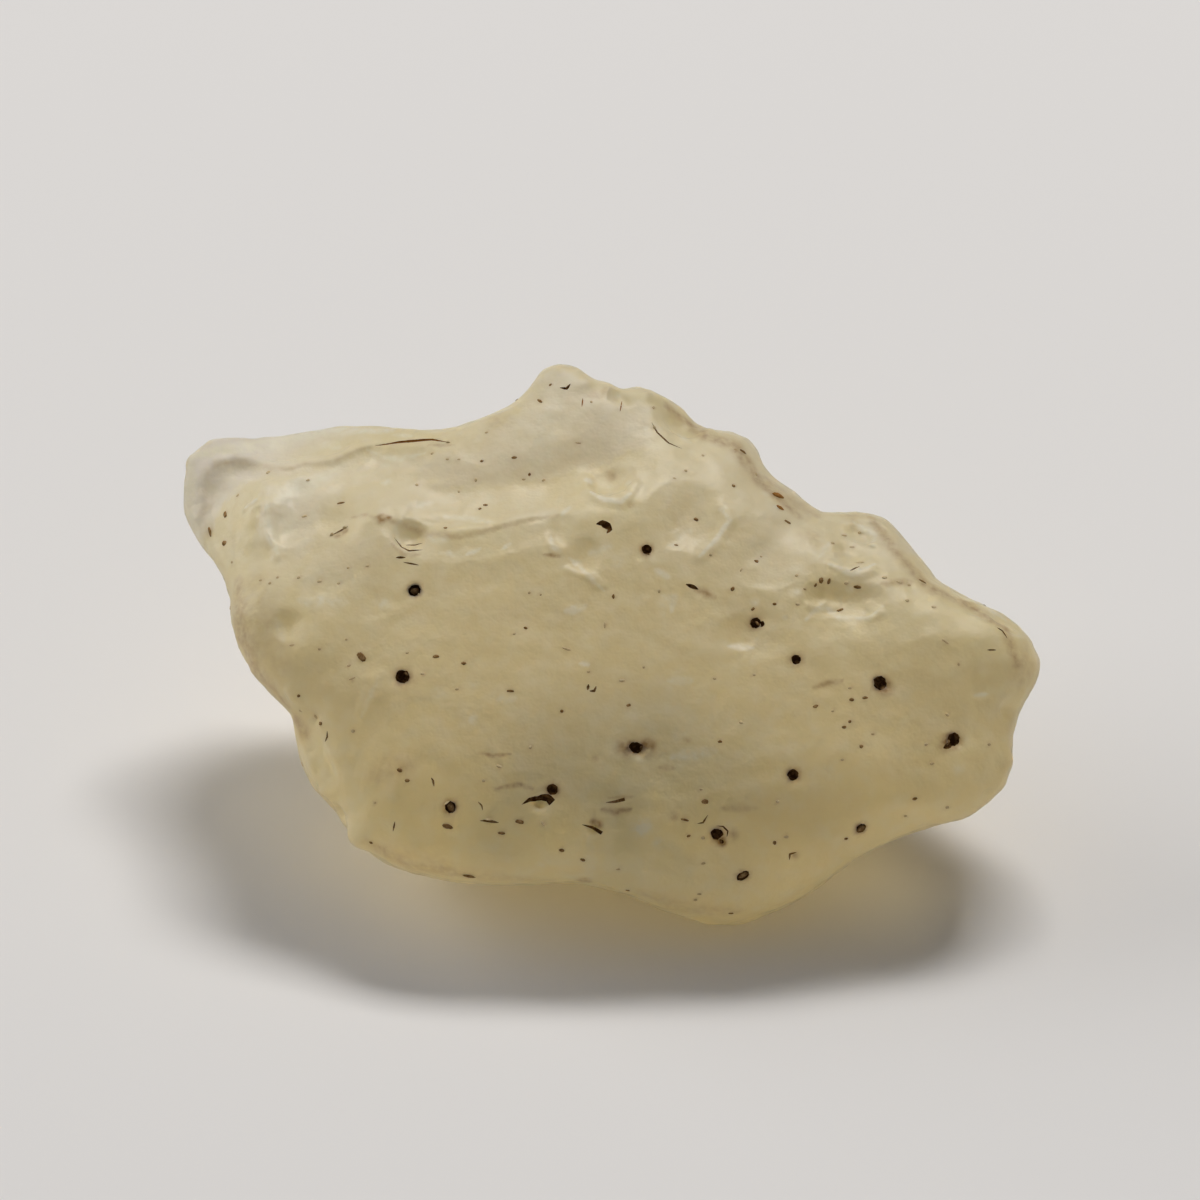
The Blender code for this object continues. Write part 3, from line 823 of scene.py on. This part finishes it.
# %% Cracks: path, widest radius, filling, and whether the far end is blunt
RUSTY_SEAM = [(-11.8, 10.7), (-10.5, 10.9), (-9.3, 11.0), (-8.8, 11.03), (-7.9, 10.88)]
CRACKS = [
    (RUSTY_SEAM, 0.12, rusty_soil, False),
    ([(-0.2, 6.6), (0.1, 6.66), (0.4, 6.5), (0.52, 6.3), (0.35, 6.12)], 0.21, dark_soil, False),
    ([(-4.1, -8.1), (-3.7, -7.85), (-3.1, -7.72), (-2.75, -7.75), (-2.5, -8.0)], 0.22, dark_soil, True),
    ([(-0.95, -9.15), (-0.4, -9.3), (0.1, -9.6)], 0.10, dark_soil, True),
    ([(-10.8, 5.9), (-10.4, 5.4), (-10.0, 5.2), (-9.3, 5.25)], 0.065, brown_soil, False),
    ([(-10.2, 5.5), (-9.7, 5.5), (-9.3, 5.6)], 0.045, brown_soil, False),
    ([(-10.7, 4.85), (-10.2, 4.85)], 0.07, brown_soil, False),
    ([(-10.3, 4.6), (-9.5, 4.45)], 0.05, brown_soil, False),
    ([(-14.1, 6.0), (-13.6, 6.25), (-13.2, 6.5)], 0.06, brown_soil, False),
    ([(2.7, 11.95), (3.0, 11.4), (3.6, 10.85), (4.3, 10.55)], 0.06, brown_soil, False),
    ([(-2.1, 13.75), (-1.75, 13.7), (-1.55, 13.95)], 0.09, dark_soil, False),
    ([(-0.9, 13.2), (-0.95, 12.75)], 0.04, rusty_soil, False),
    ([(1.15, 13.05), (1.05, 12.5)], 0.04, rusty_soil, False),
    ([(4.5, 3.45), (4.9, 3.3), (5.15, 3.18)], 0.12, dark_soil, False),
    ([(0.3, -8.0), (0.8, -7.95), (1.3, -7.82)], 0.09, brown_soil, True),
    ([(-6.4, -7.95), (-6.2, -8.15), (-6.15, -8.4)], 0.04, brown_soil, False),
    ([(-6.3, -8.95), (-5.9, -8.95), (-5.3, -9.05)], 0.08, brown_soil, False),
    ([(-14.3, -4.25), (-14.3, -4.55), (-14.4, -4.8)], 0.06, brown_soil, False),
    ([(-8.85, -6.7), (-8.75, -6.85), (-8.7, -7.15)], 0.06, brown_soil, False),
    ([(-10.75, -9.0), (-10.85, -9.5)], 0.05, brown_soil, False),
    ([(5.1, -9.1), (5.4, -9.05), (5.65, -8.65)], 0.05, brown_soil, False),
    ([(-0.6, -1.8), (-0.65, -2.1)], 0.08, brown_soil, False),
    ([(-0.2, -1.9), (-0.3, -2.15), (-0.55, -2.15)], 0.08, brown_soil, False),
    ([(20.7, 1.25), (21.1, 1.0), (21.35, 0.6)], 0.06, brown_soil, False),
    ([(20.3, 0.0), (20.75, 0.0)], 0.05, brown_soil, False),
    ([(13.1, 4.15), (13.6, 4.4)], 0.05, brown_soil, False),
    ([(6.1, -9.22), (6.45, -9.25), (6.7, -9.5), (6.65, -9.8)], 0.05, dark_soil, False),
    ([(9.93, -11.0), (9.95, -10.7), (10.3, -10.6)], 0.06, brown_soil, False),
    ([(8.35, 1.40), (8.45, 1.37), (8.62, 1.34)], 0.19, dark_soil, False),
    ([(18.0, -5.15), (18.3, -5.0), (18.5, -4.8)], 0.16, dark_soil, False),
]
print("cracks:", len(CRACKS))

# %% Cutting the bubbles
BALL_SPLITS = 3
OTHER_BUBBLES = 16
OTHER_RADII = (0.15, 0.40)
BUBBLE_SUNK = 0.2
BUBBLE_KNOCK = (0.9, 1.1)


def bubble(place, normal, radius, stretch, twist):
    """A ball that is a little sunk into the skin."""
    knocked(ball, *BUBBLE_KNOCK)
    sunk = place - normal * radius * BUBBLE_SUNK * MM
    return set_down(ball, sunk, normal, math.radians(twist), (radius * stretch, radius, radius))


bpy.ops.mesh.primitive_ico_sphere_add(subdivisions=BALL_SPLITS, radius=MM)
ball = bpy.context.object
ball.data.materials.append(dark_soil)
bubbles = [bubble(*seen_spot(*shape[:2]), *shape[2:]) for shape in BUBBLES]
for place, normal in look_elsewhere(OTHER_BUBBLES):
    bubbles.append(bubble(place, normal, dice.uniform(*OTHER_RADII), 1.0, 0.0))
bpy.data.objects.remove(ball)
cut_away(lump, joined(bubbles, "bubbles"))
print("triangles after the bubbles:", count(lump))

# %% Cutting the cracks
SHARPEST_SHADED = math.radians(55)

cracks = [crack_tool(*crack) for crack in CRACKS]
cut_away(lump, joined(cracks, "cracks"))
only(lump)
bpy.ops.object.shade_smooth_by_angle(angle=SHARPEST_SHADED)
print("materials:", [slot.name for slot in lump.data.materials], "triangles:", count(lump))

# %% [markdown]
# ## Places for the grains
#
# Grains of sand and soil are lodged in the skin all over. The ones on the broad face are listed
# one by one, and dice place the rest. Their places come before the painting, because soil has
# soaked a little into the glass round each of them.

# %% Dark grains: u, v, half length, half width and tilt in degrees
DARK_GRAINS = [
    (-19.65, 7.1, 0.24, 0.12, 105), (-20.45, 6.2, 0.32, 0.09, 105), (-19.7, 5.6, 0.22, 0.16, -40),
    (-3.15, 13.05, 0.20, 0.08, -50), (-4.5, 10.08, 0.18, 0.08, 8), (-3.7, 9.2, 0.10, 0.08, 60),
    (-6.2, 9.9, 0.10, 0.08, 0), (-6.0, 7.6, 0.14, 0.07, 0), (-6.3, 7.4, 0.10, 0.08, 30),
    (-2.6, 13.9, 0.10, 0.07, 45), (7.0, 8.6, 0.11, 0.10, 0), (5.03, 6.85, 0.14, 0.10, -40),
    (8.2, 4.65, 0.13, 0.10, -20), (6.95, 3.2, 0.14, 0.10, 70), (0.7, 2.8, 0.13, 0.08, 90),
    (4.0, 5.5, 0.12, 0.06, 0), (-3.9, 1.15, 0.12, 0.08, -20), (-2.0, -3.2, 0.10, 0.10, 0),
    (1.5, -2.9, 0.13, 0.09, 20), (-4.7, -2.15, 0.24, 0.08, 0), (8.02, 2.15, 0.12, 0.08, 40),
    (9.15, 2.4, 0.11, 0.08, 0), (6.3, -4.8, 0.13, 0.08, 0), (-12.5, -0.35, 0.32, 0.18, -50),
    (-8.6, -0.35, 0.20, 0.10, 12), (-7.15, -0.7, 0.14, 0.09, 0), (-14.65, -3.85, 0.14, 0.11, 0),
    (-15.8, -2.4, 0.10, 0.08, 0), (-10.5, -6.3, 0.16, 0.11, -20), (-10.1, -6.85, 0.13, 0.10, 0),
    (-8.0, -9.25, 0.30, 0.13, -15), (-12.0, -10.1, 0.12, 0.08, -25), (-4.2, -9.0, 0.26, 0.12, -10),
    (-5.15, -9.6, 0.22, 0.08, -5), (-6.9, -11.85, 0.36, 0.14, -6), (-2.0, -10.5, 0.16, 0.10, -5),
    (-0.9, -11.0, 0.16, 0.09, -20), (1.45, -12.6, 0.14, 0.07, -10), (5.5, -7.95, 0.20, 0.13, 0),
    (4.65, -9.75, 0.12, 0.07, 20), (6.85, -13.8, 0.15, 0.07, 0), (11.3, -2.95, 0.15, 0.09, 20),
    (13.2, -2.6, 0.15, 0.09, 0), (13.9, -2.5, 0.15, 0.08, 5), (13.1, -3.75, 0.10, 0.08, 0),
    (12.8, -4.05, 0.13, 0.09, 0), (13.7, -5.05, 0.12, 0.10, 0), (16.5, -7.8, 0.14, 0.10, 10),
    (12.9, -9.9, 0.12, 0.08, -20), (9.15, -10.1, 0.10, 0.12, 0), (9.85, 6.7, 0.24, 0.08, -20),
    (7.5, 10.4, 0.22, 0.09, -25),
    (13.5, 3.3, 0.22, 0.09, -3), (11.6, 3.65, 0.18, 0.13, 90), (12.0, 3.6, 0.18, 0.09, 70),
    (11.3, 3.4, 0.11, 0.07, 60), (16.9, 3.6, 0.24, 0.08, -12), (12.6, 2.1, 0.24, 0.08, 35),
    (4.45, -8.9, 0.24, 0.07, -15), (-13.6, 7.7, 0.24, 0.07, 0), (-8.1, 6.4, 0.10, 0.08, 0),
]
print("dark grains:", len(DARK_GRAINS))

# %% Faded grains, in the same form
FADED_GRAINS = [
    (-17.4, 9.3, 0.14, 0.10, 20), (-19.0, 8.1, 0.11, 0.09, 0), (-15.3, 8.9, 0.11, 0.08, 0),
    (-15.5, 7.0, 0.18, 0.06, 0), (-14.7, 3.6, 0.16, 0.08, 0), (-13.7, 3.5, 0.10, 0.08, 0),
    (-13.2, 4.3, 0.09, 0.07, 0), (-16.9, 3.8, 0.08, 0.07, 0), (-17.8, 3.65, 0.10, 0.06, 0),
    (-17.3, 3.5, 0.09, 0.08, 0), (-19.3, 4.6, 0.11, 0.07, 0), (-9.6, 8.65, 0.10, 0.08, 0),
    (-7.4, 8.3, 0.08, 0.08, 0), (-6.5, 8.9, 0.11, 0.08, 90), (-8.8, 10.3, 0.11, 0.08, 0),
    (-8.0, 10.0, 0.10, 0.06, 0), (-7.4, 10.0, 0.10, 0.06, 0), (-4.0, 8.95, 0.12, 0.07, 0),
    (-2.95, 8.9, 0.12, 0.07, 20), (-1.15, 10.85, 0.17, 0.05, -8), (-5.95, 11.4, 0.10, 0.06, 0),
    (-0.45, 13.0, 0.08, 0.08, 0), (2.8, 12.7, 0.13, 0.07, 90), (3.9, 9.0, 0.12, 0.07, 0),
    (4.5, 9.4, 0.10, 0.08, -30), (5.4, 10.2, 0.08, 0.08, 0), (7.1, 10.5, 0.12, 0.05, 0),
    (8.2, 9.2, 0.11, 0.08, 90), (5.8, 5.0, 0.10, 0.09, 0), (8.45, 4.9, 0.08, 0.06, 0),
    (7.4, 4.2, 0.13, 0.06, 60), (3.1, 3.1, 0.12, 0.07, 90), (-3.7, 3.0, 0.09, 0.07, 0),
    (-3.1, 2.9, 0.07, 0.06, 0), (-4.5, 0.85, 0.09, 0.07, 0), (-1.75, 0.05, 0.26, 0.06, -20),
    (-0.6, -1.15, 0.10, 0.05, 0), (1.15, -1.6, 0.17, 0.08, 8), (0.25, 1.3, 0.20, 0.05, 90),
    (2.3, -0.9, 0.08, 0.07, 0), (6.0, -1.5, 0.10, 0.07, 0), (8.1, -1.3, 0.08, 0.07, 0),
    (7.4, -3.8, 0.11, 0.08, 0), (-3.65, -5.1, 0.11, 0.08, 70), (-5.3, -6.1, 0.17, 0.08, -15),
    (-13.15, -0.8, 0.12, 0.08, 10), (-13.3, 0.55, 0.09, 0.06, 0), (-14.7, 0.05, 0.10, 0.07, 0),
    (-16.15, 0.25, 0.16, 0.06, 0), (-10.1, -0.15, 0.10, 0.07, 0), (-9.3, -1.25, 0.12, 0.07, 0),
    (-7.5, -2.05, 0.11, 0.07, 0), (-13.0, -1.5, 0.20, 0.05, 20), (-12.95, -4.25, 0.12, 0.09, 0),
    (-15.7, -3.2, 0.11, 0.07, 0), (-14.9, -3.5, 0.14, 0.10, -40), (-15.6, -6.0, 0.14, 0.08, 0),
    (-11.8, -8.0, 0.10, 0.06, 0), (-6.1, -6.85, 0.09, 0.09, 0), (-3.0, -9.1, 0.18, 0.06, -50),
    (0.95, -11.5, 0.12, 0.06, 0), (5.4, -11.2, 0.13, 0.07, 10), (5.0, -13.1, 0.10, 0.09, 0),
    (5.2, -12.8, 0.12, 0.06, 0), (5.4, -9.85, 0.11, 0.10, 0), (5.3, -7.3, 0.09, 0.07, 0),
    (9.3, -7.95, 0.10, 0.07, 0), (9.75, -9.8, 0.14, 0.07, 0), (13.1, -2.0, 0.10, 0.06, 0),
    (12.2, -3.2, 0.08, 0.07, 0), (14.3, -4.4, 0.10, 0.07, 0), (12.7, -5.75, 0.10, 0.07, 0),
    (17.1, -4.95, 0.10, 0.08, 0), (17.4, -5.95, 0.13, 0.07, 0), (18.2, -8.25, 0.11, 0.09, 0),
    (16.0, -8.7, 0.09, 0.07, 0), (20.4, -4.95, 0.11, 0.08, 0), (18.8, -0.75, 0.09, 0.07, 90),
    (18.2, -3.4, 0.12, 0.08, -40), (18.1, 0.45, 0.24, 0.06, -35), (12.8, 6.0, 0.17, 0.07, 0),
    (13.6, 6.15, 0.10, 0.08, 0), (12.2, 5.6, 0.11, 0.08, 0), (13.2, 5.4, 0.14, 0.05, 0),
    (13.6, 4.58, 0.24, 0.06, -3), (12.9, 3.5, 0.12, 0.08, 0), (14.9, 3.8, 0.16, 0.11, 0),
    (15.7, 3.55, 0.20, 0.08, 0), (16.2, 3.4, 0.11, 0.08, 0), (10.35, 2.4, 0.13, 0.09, 0),
    (10.75, 3.2, 0.11, 0.06, 0), (16.1, 2.6, 0.12, 0.10, 0), (17.5, 2.25, 0.15, 0.10, 0),
    (10.3, 3.9, 0.09, 0.08, 0), (-12.2, 4.4, 0.12, 0.05, 0), (-15.8, 3.8, 0.11, 0.09, 0),
]
print("faded grains:", len(FADED_GRAINS))

# %% Rusty grains, and plugs of soil inside the bubbles
RUSTY_GRAINS = [(9.35, 8.1, 0.38, 0.17, 5), (9.45, 7.45, 0.24, 0.13, -20)]
PLUGS = [
    (-9.70, 3.05, 0.25, 0.23, 0), (-7.85, -8.25, 0.28, 0.20, -60), (8.27, 1.40, 0.17, 0.08, -50),
    (7.50, -11.85, 0.28, 0.14, 35), (13.72, -9.40, 0.26, 0.20, 30), (14.88, -1.95, 0.22, 0.14, 50),
    (18.22, -4.85, 0.20, 0.12, 60), (2.25, -5.15, 0.20, 0.14, 0), (-10.15, -1.22, 0.16, 0.07, -40),
]
print("rusty grains:", len(RUSTY_GRAINS), "plugs:", len(PLUGS))

# %% Where the grains and plugs lie
PLUG_SUNK = 0.07
DICED_BROWN = 90
DICED_FADED = 120
DICED_WIDTHS = (0.06, 0.14)
DICED_LENGTHS = (1.0, 2.2)


def hand_placed(grains, filling, sunk=0.0):
    """Grains as place, normal, half length, half width, tilt and filling."""
    spots = []
    for u, v, long, wide, tilt in grains:
        place, normal = seen_spot(u, v)
        sunk_place = place - normal * sunk * MM
        spots.append((sunk_place, normal, long, wide, math.radians(tilt), filling))
    return spots


def diced(how_many, filling):
    """Grains in the same form, but on the sides and the back, with their looks left to dice."""
    spots = []
    for place, normal in look_elsewhere(how_many):
        wide = dice.uniform(*DICED_WIDTHS)
        long = wide * dice.uniform(*DICED_LENGTHS)
        spots.append((place, normal, long, wide, dice.uniform(0.0, math.pi), filling))
    return spots


grain_spots = hand_placed(DARK_GRAINS, brown_soil) + hand_placed(FADED_GRAINS, faded_soil)
grain_spots += hand_placed(RUSTY_GRAINS, rusty_soil)
grain_spots += diced(DICED_BROWN, brown_soil) + diced(DICED_FADED, faded_soil)
plug_spots = hand_placed(PLUGS, brown_soil, PLUG_SUNK)
print("grains:", len(grain_spots), "plugs:", len(plug_spots))

# %% [markdown]
# ## Painting the marks
#
# Milky flecks and soaked-in soil, with painted highlights, painted light and painted shade, are
# only colour, so they are stored on the points of the mesh as numbers from 0 to 1, which the glass
# reads. A third number says how yellow the glass looks at each point: more so where it is deep,
# standing in for absorption, and towards the lower end of the slab. That part is painted light:
# paler high up, where the light falls.

# %% Painting
SEEN = 0.02


def softened(close):
    """A share from 0 to 1 with both of its ends eased."""
    return close * close * (3.0 - 2.0 * close)


def paint(obj, name, marks):
    """Stores soft marks, given as spots, reach and strength, on the object's points."""
    amounts = [0.0] * len(obj.data.vertices)
    for spots, reach, strength in marks:
        for index, close in near(points, spots, reach).items():
            amounts[index] += (1.0 - amounts[index]) * strength * softened(close)
    attribute = obj.data.attributes.new(name, "FLOAT", "POINT")
    attribute.data.foreach_set("value", amounts)
    print(name, "covers", sum(amount > SEEN for amount in amounts), "points")


points = points_of(lump)
print("points to paint:", len(lump.data.vertices))

# %% Milk in the glass, with painted highlights and painted light
MILK_AND_HIGHLIGHT_WIDENED = 1.3
MILK_AND_HIGHLIGHT_STRENGTHENED = 1.3
MILK_AND_HIGHLIGHT_LIMIT = 0.9
OTHER_MILK = 60
OTHER_MILK_REACHES = (0.3, 1.0)
OTHER_MILK_STRENGTH = 0.4

milky_and_highlights = []
for path, reach, strength in MILKY_AND_HIGHLIGHTS:
    spots = traced(path, reach / STEPS_PER_REACH)
    stronger = min(MILK_AND_HIGHLIGHT_STRENGTHENED * strength, MILK_AND_HIGHLIGHT_LIMIT)
    milky_and_highlights.append((spots, MILK_AND_HIGHLIGHT_WIDENED * reach, stronger))
for spot in look_elsewhere(OTHER_MILK):
    milky_and_highlights.append(([spot], dice.uniform(*OTHER_MILK_REACHES), OTHER_MILK_STRENGTH))
paint(lump, "milk_and_highlight", milky_and_highlights)

# %% Soil soaked into the glass, painted shade and darker bands along the outline
STAIN_AND_SHADE_WIDENED = 1.6
BUBBLE_HALO = 0.30
GRAIN_HALO = 0.12
GRAIN_HALO_STRENGTH = 0.25
OTHER_STAINS = 30
OTHER_STAIN_REACHES = (0.3, 0.9)
OTHER_STAIN_STRENGTH = 0.3

stains_and_shade = []
for path, reach, strength in STAINS_AND_SHADE:
    stains_and_shade.append((traced(path, reach / STEPS_PER_REACH), STAIN_AND_SHADE_WIDENED * reach, strength))
for u, v, radius, _, _ in BUBBLES:
    stains_and_shade.append(([seen_spot(u, v)], radius + BUBBLE_HALO, 1.0))
for place, normal, long, _, _, _ in grain_spots:
    stains_and_shade.append(([(place, normal)], long + GRAIN_HALO, GRAIN_HALO_STRENGTH))
for spot in look_elsewhere(OTHER_STAINS):
    stains_and_shade.append(([spot], dice.uniform(*OTHER_STAIN_REACHES), OTHER_STAIN_STRENGTH))
paint(lump, "stain_and_shade", stains_and_shade)

# %% How deep and how yellow the glass is, with painted light high up the slab
SHALLOW = 2.0
DEEP = 14.0
YELLOWER_FROM = 5.0
YELLOWEST_AT = -9.0
YELLOW_SHARE = 0.55
UNDER_SKIN = 1.0
TO_SLAB = SLAB.inverted()


def share_between(low, high, value):
    """Where a value lies between two others, kept from 0 to 1."""
    return min(max((value - low) / (high - low), 0.0), 1.0)


def depth_under(place):
    """How far the glass goes in under a place on the skin, in millimetres."""
    _, normal, _, _ = even_skin.find_nearest(place)
    _, _, _, inside = even_skin.ray_cast(place - normal * UNDER_SKIN * MM, -normal)
    return inside / MM + UNDER_SKIN if inside else 0.0


def yellowness(place):
    """From 0 in thin glass high up the slab to 1 in deep glass at its lower end."""
    deep = share_between(SHALLOW, DEEP, depth_under(place))
    # Painted light: paler high up the slab, where the light falls, and yellower towards its lower end.
    low = share_between(YELLOWER_FROM, YELLOWEST_AT, (TO_SLAB @ (place / MM)).y)
    return deep * (1.0 - YELLOW_SHARE) + low * YELLOW_SHARE


yellow = [yellowness(vert.co) for vert in lump.data.vertices]
attribute = lump.data.attributes.new("yellow", "FLOAT", "POINT")
attribute.data.foreach_set("value", yellow)
print("median yellowness:", round(sorted(yellow)[len(yellow) // 2], 2))

# %% [markdown]
# ## The glass
#
# Desert glass is nearly pure silica, yet it isn't clear like a window: tiny bubbles scatter the
# light inside it, and its skin is matt. A rough surface with plain transmission lets light in,
# absorption in the volume yellows it on the way, and subsurface scattering gives the milky look.
# A weak, rough coat is what is left of the polish. The colour is a ramp from pale through dull
# yellow to honey glass. The painted numbers and some noise are mixed over that, and a fine
# bump gives the skin its grain. An image could hold the marks too, but numbers on the points
# need no unwrapping.

# %% Glass: its colours, and what it does with light
PALE = (0.96, 0.92, 0.90, 1.0)
BODY = (0.87, 0.77, 0.48, 1.0)
BODY_AT = 0.5
HONEY = (1.0, 0.865, 0.51, 1.0)
# Milky white, also laid on as painted highlights and painted light.
MILK_AND_HIGHLIGHT = (1.0, 0.955, 0.78, 1.0)
# Soil brown, also laid on as painted shade.
STAIN_AND_SHADE = (0.38, 0.22, 0.08, 1.0)
SKIN_ROUGHNESS = 0.6
SKIN_SPECULAR = 0.5
GLASS_LIGHT = {
    "IOR": 1.46,
    "Transmission Weight": 0.52,
    "Subsurface Weight": 0.25,
    "Subsurface Scale": 0.008,
    "Subsurface Radius": (1.0, 0.8, 0.45),
    "Coat Weight": 0.3,
    "Coat Roughness": 0.38,
    "Coat IOR": 1.46,
}
print("index of refraction:", GLASS_LIGHT["IOR"])


# %% Small pieces of a shader
def painted(tree, name):
    """The numbers that were painted on the points under this name."""
    node = tree.nodes.new("ShaderNodeAttribute")
    node.attribute_name = name
    return node.outputs["Fac"]


def combined(tree, kind, *values):
    """One sum on numbers, each of which is fixed or comes from another node."""
    node = tree.nodes.new("ShaderNodeMath")
    node.operation = kind
    for socket, value in zip(node.inputs, values):
        if isinstance(value, float):
            socket.default_value = value
        else:
            tree.links.new(value, socket)
    return node.outputs["Value"]


def mixed(tree, share, under, over):
    """A fixed colour laid over another by a share from 0 to 1."""
    node = tree.nodes.new("ShaderNodeMix")
    node.data_type = "RGBA"
    tree.links.new(share, node.inputs["Factor"])
    tree.links.new(under, node.inputs["A"])
    node.inputs["B"].default_value = over
    return node.outputs["Result"]


print("milk:", MILK_AND_HIGHLIGHT, "stain:", STAIN_AND_SHADE)

# %% The glass's colour
# For each noise: spacing, detail, how far it swings and where the swing starts.
CLOUDS = (5.0, 0.0, 0.24, -0.12)
FINE_MILK = (0.9, 1.0, 0.9, -0.37)
CURDS = (0.38, 2.0, 3.2, -0.35)


def swung(tree, spacing, detail, swing, start):
    """Noise that is stretched and shifted."""
    return combined(tree, "MULTIPLY_ADD", noise(tree, spacing, detail), swing, start)


def bare_colour(tree):
    """From pale through dull yellow to honey glass, by the painted yellowness."""
    zones = tree.nodes.new("ShaderNodeValToRGB")
    ramp = zones.color_ramp
    ramp.elements[0].color = PALE
    ramp.elements[1].color = HONEY
    ramp.elements.new(BODY_AT).color = BODY
    cloudy = combined(tree, "ADD", painted(tree, "yellow"), swung(tree, *CLOUDS))
    tree.links.new(cloudy, zones.inputs["Fac"])
    return zones.outputs["Color"]


def marked_colour(tree):
    """The bare colour with fine milk, milky flecks, painted highlights and light, soaked-in soil and
    painted shade over it.
    """
    curds = swung(tree, *CURDS)
    flecks_and_highlights = combined(tree, "MULTIPLY", painted(tree, "milk_and_highlight"), curds)
    milk_and_highlight = combined(tree, "MAXIMUM", swung(tree, *FINE_MILK), flecks_and_highlights)
    whitened = mixed(tree, milk_and_highlight, bare_colour(tree), MILK_AND_HIGHLIGHT)
    soaked_and_shaded = combined(tree, "MULTIPLY", painted(tree, "stain_and_shade"), curds)
    return mixed(tree, soaked_and_shaded, whitened, STAIN_AND_SHADE)


print("noises, mm apart:", CLOUDS[0], FINE_MILK[0], CURDS[0])

# %% The finished glass
FROST_SPACING = 0.28
FROST_DETAIL = 1.0
FROST_HEIGHT = 0.05
FROST_STRENGTH = 0.5
DEPTH_COLOUR = (0.95, 0.87, 0.6, 1.0)
DEPTH_DENSITY = 45.0


def add_frost(tree, shader):
    """A fine bump that gives the skin its grain."""
    bump = tree.nodes.new("ShaderNodeBump")
    bump.inputs["Strength"].default_value = FROST_STRENGTH
    bump.inputs["Distance"].default_value = FROST_HEIGHT * MM
    tree.links.new(noise(tree, FROST_SPACING, FROST_DETAIL), bump.inputs["Height"])
    tree.links.new(bump.outputs["Normal"], shader.inputs["Normal"])


def add_depth(tree):
    """Absorption, which yellows the light on its way through."""
    depth = tree.nodes.new("ShaderNodeVolumeAbsorption")
    depth.inputs["Color"].default_value = DEPTH_COLOUR
    depth.inputs["Density"].default_value = DEPTH_DENSITY
    tree.links.new(depth.outputs["Volume"], tree.nodes["Material Output"].inputs["Volume"])


def glass():
    """The frosted glass, from all of the above."""
    material = plain_material("frosted_glass", BODY, SKIN_ROUGHNESS, SKIN_SPECULAR)
    tree = material.node_tree
    shader = tree.nodes["Principled BSDF"]
    for socket, value in GLASS_LIGHT.items():
        shader.inputs[socket].default_value = value
    tree.links.new(marked_colour(tree), shader.inputs["Base Color"])
    add_frost(tree, shader)
    add_depth(tree)
    return material


lump.data.materials[0] = glass()
print("glass nodes:", len(lump.data.materials[0].node_tree.nodes))

# %% [markdown]
# ## Lodged grains
#
# The grains are little bodies of their own, sunk half way into the skin, so they catch light and
# cast shade as paint would not. One small round model is knocked out of shape afresh for each of
# them and flattened. Particles would scatter them faster, but could not set each one in its
# place. Being tiny and all alike in kind, they are joined into one piece.

# %% Grains, each knocked out of shape
FLATNESS = 0.4
GRAIN_SEGMENTS = 8
GRAIN_RINGS = 5
GRAIN_KNOCK = (0.8, 1.15)

bpy.ops.mesh.primitive_uv_sphere_add(segments=GRAIN_SEGMENTS, ring_count=GRAIN_RINGS, radius=MM)
grain = bpy.context.object
grain.data.materials.append(brown_soil)
bpy.ops.object.shade_smooth()
grains = []
for place, normal, long, wide, tilt, filling in grain_spots + plug_spots:
    knocked(grain, *GRAIN_KNOCK)
    size = (long, wide, wide * FLATNESS)
    grains.append(set_down(grain, place, normal, tilt, size))
    grains[-1].data.materials[0] = filling
bpy.data.objects.remove(grain)
lodged = joined(grains, "lodged_grains")
print("triangles in the grains:", count(lodged))

# %% [markdown]
# ## Finish
#
# Each new piece rides the imported body that it belongs to, and the worn lump takes the place of
# the plain solid.

# %% Finish
for piece in (lump, lodged):
    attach(piece, "root")
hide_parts("desert_glass")
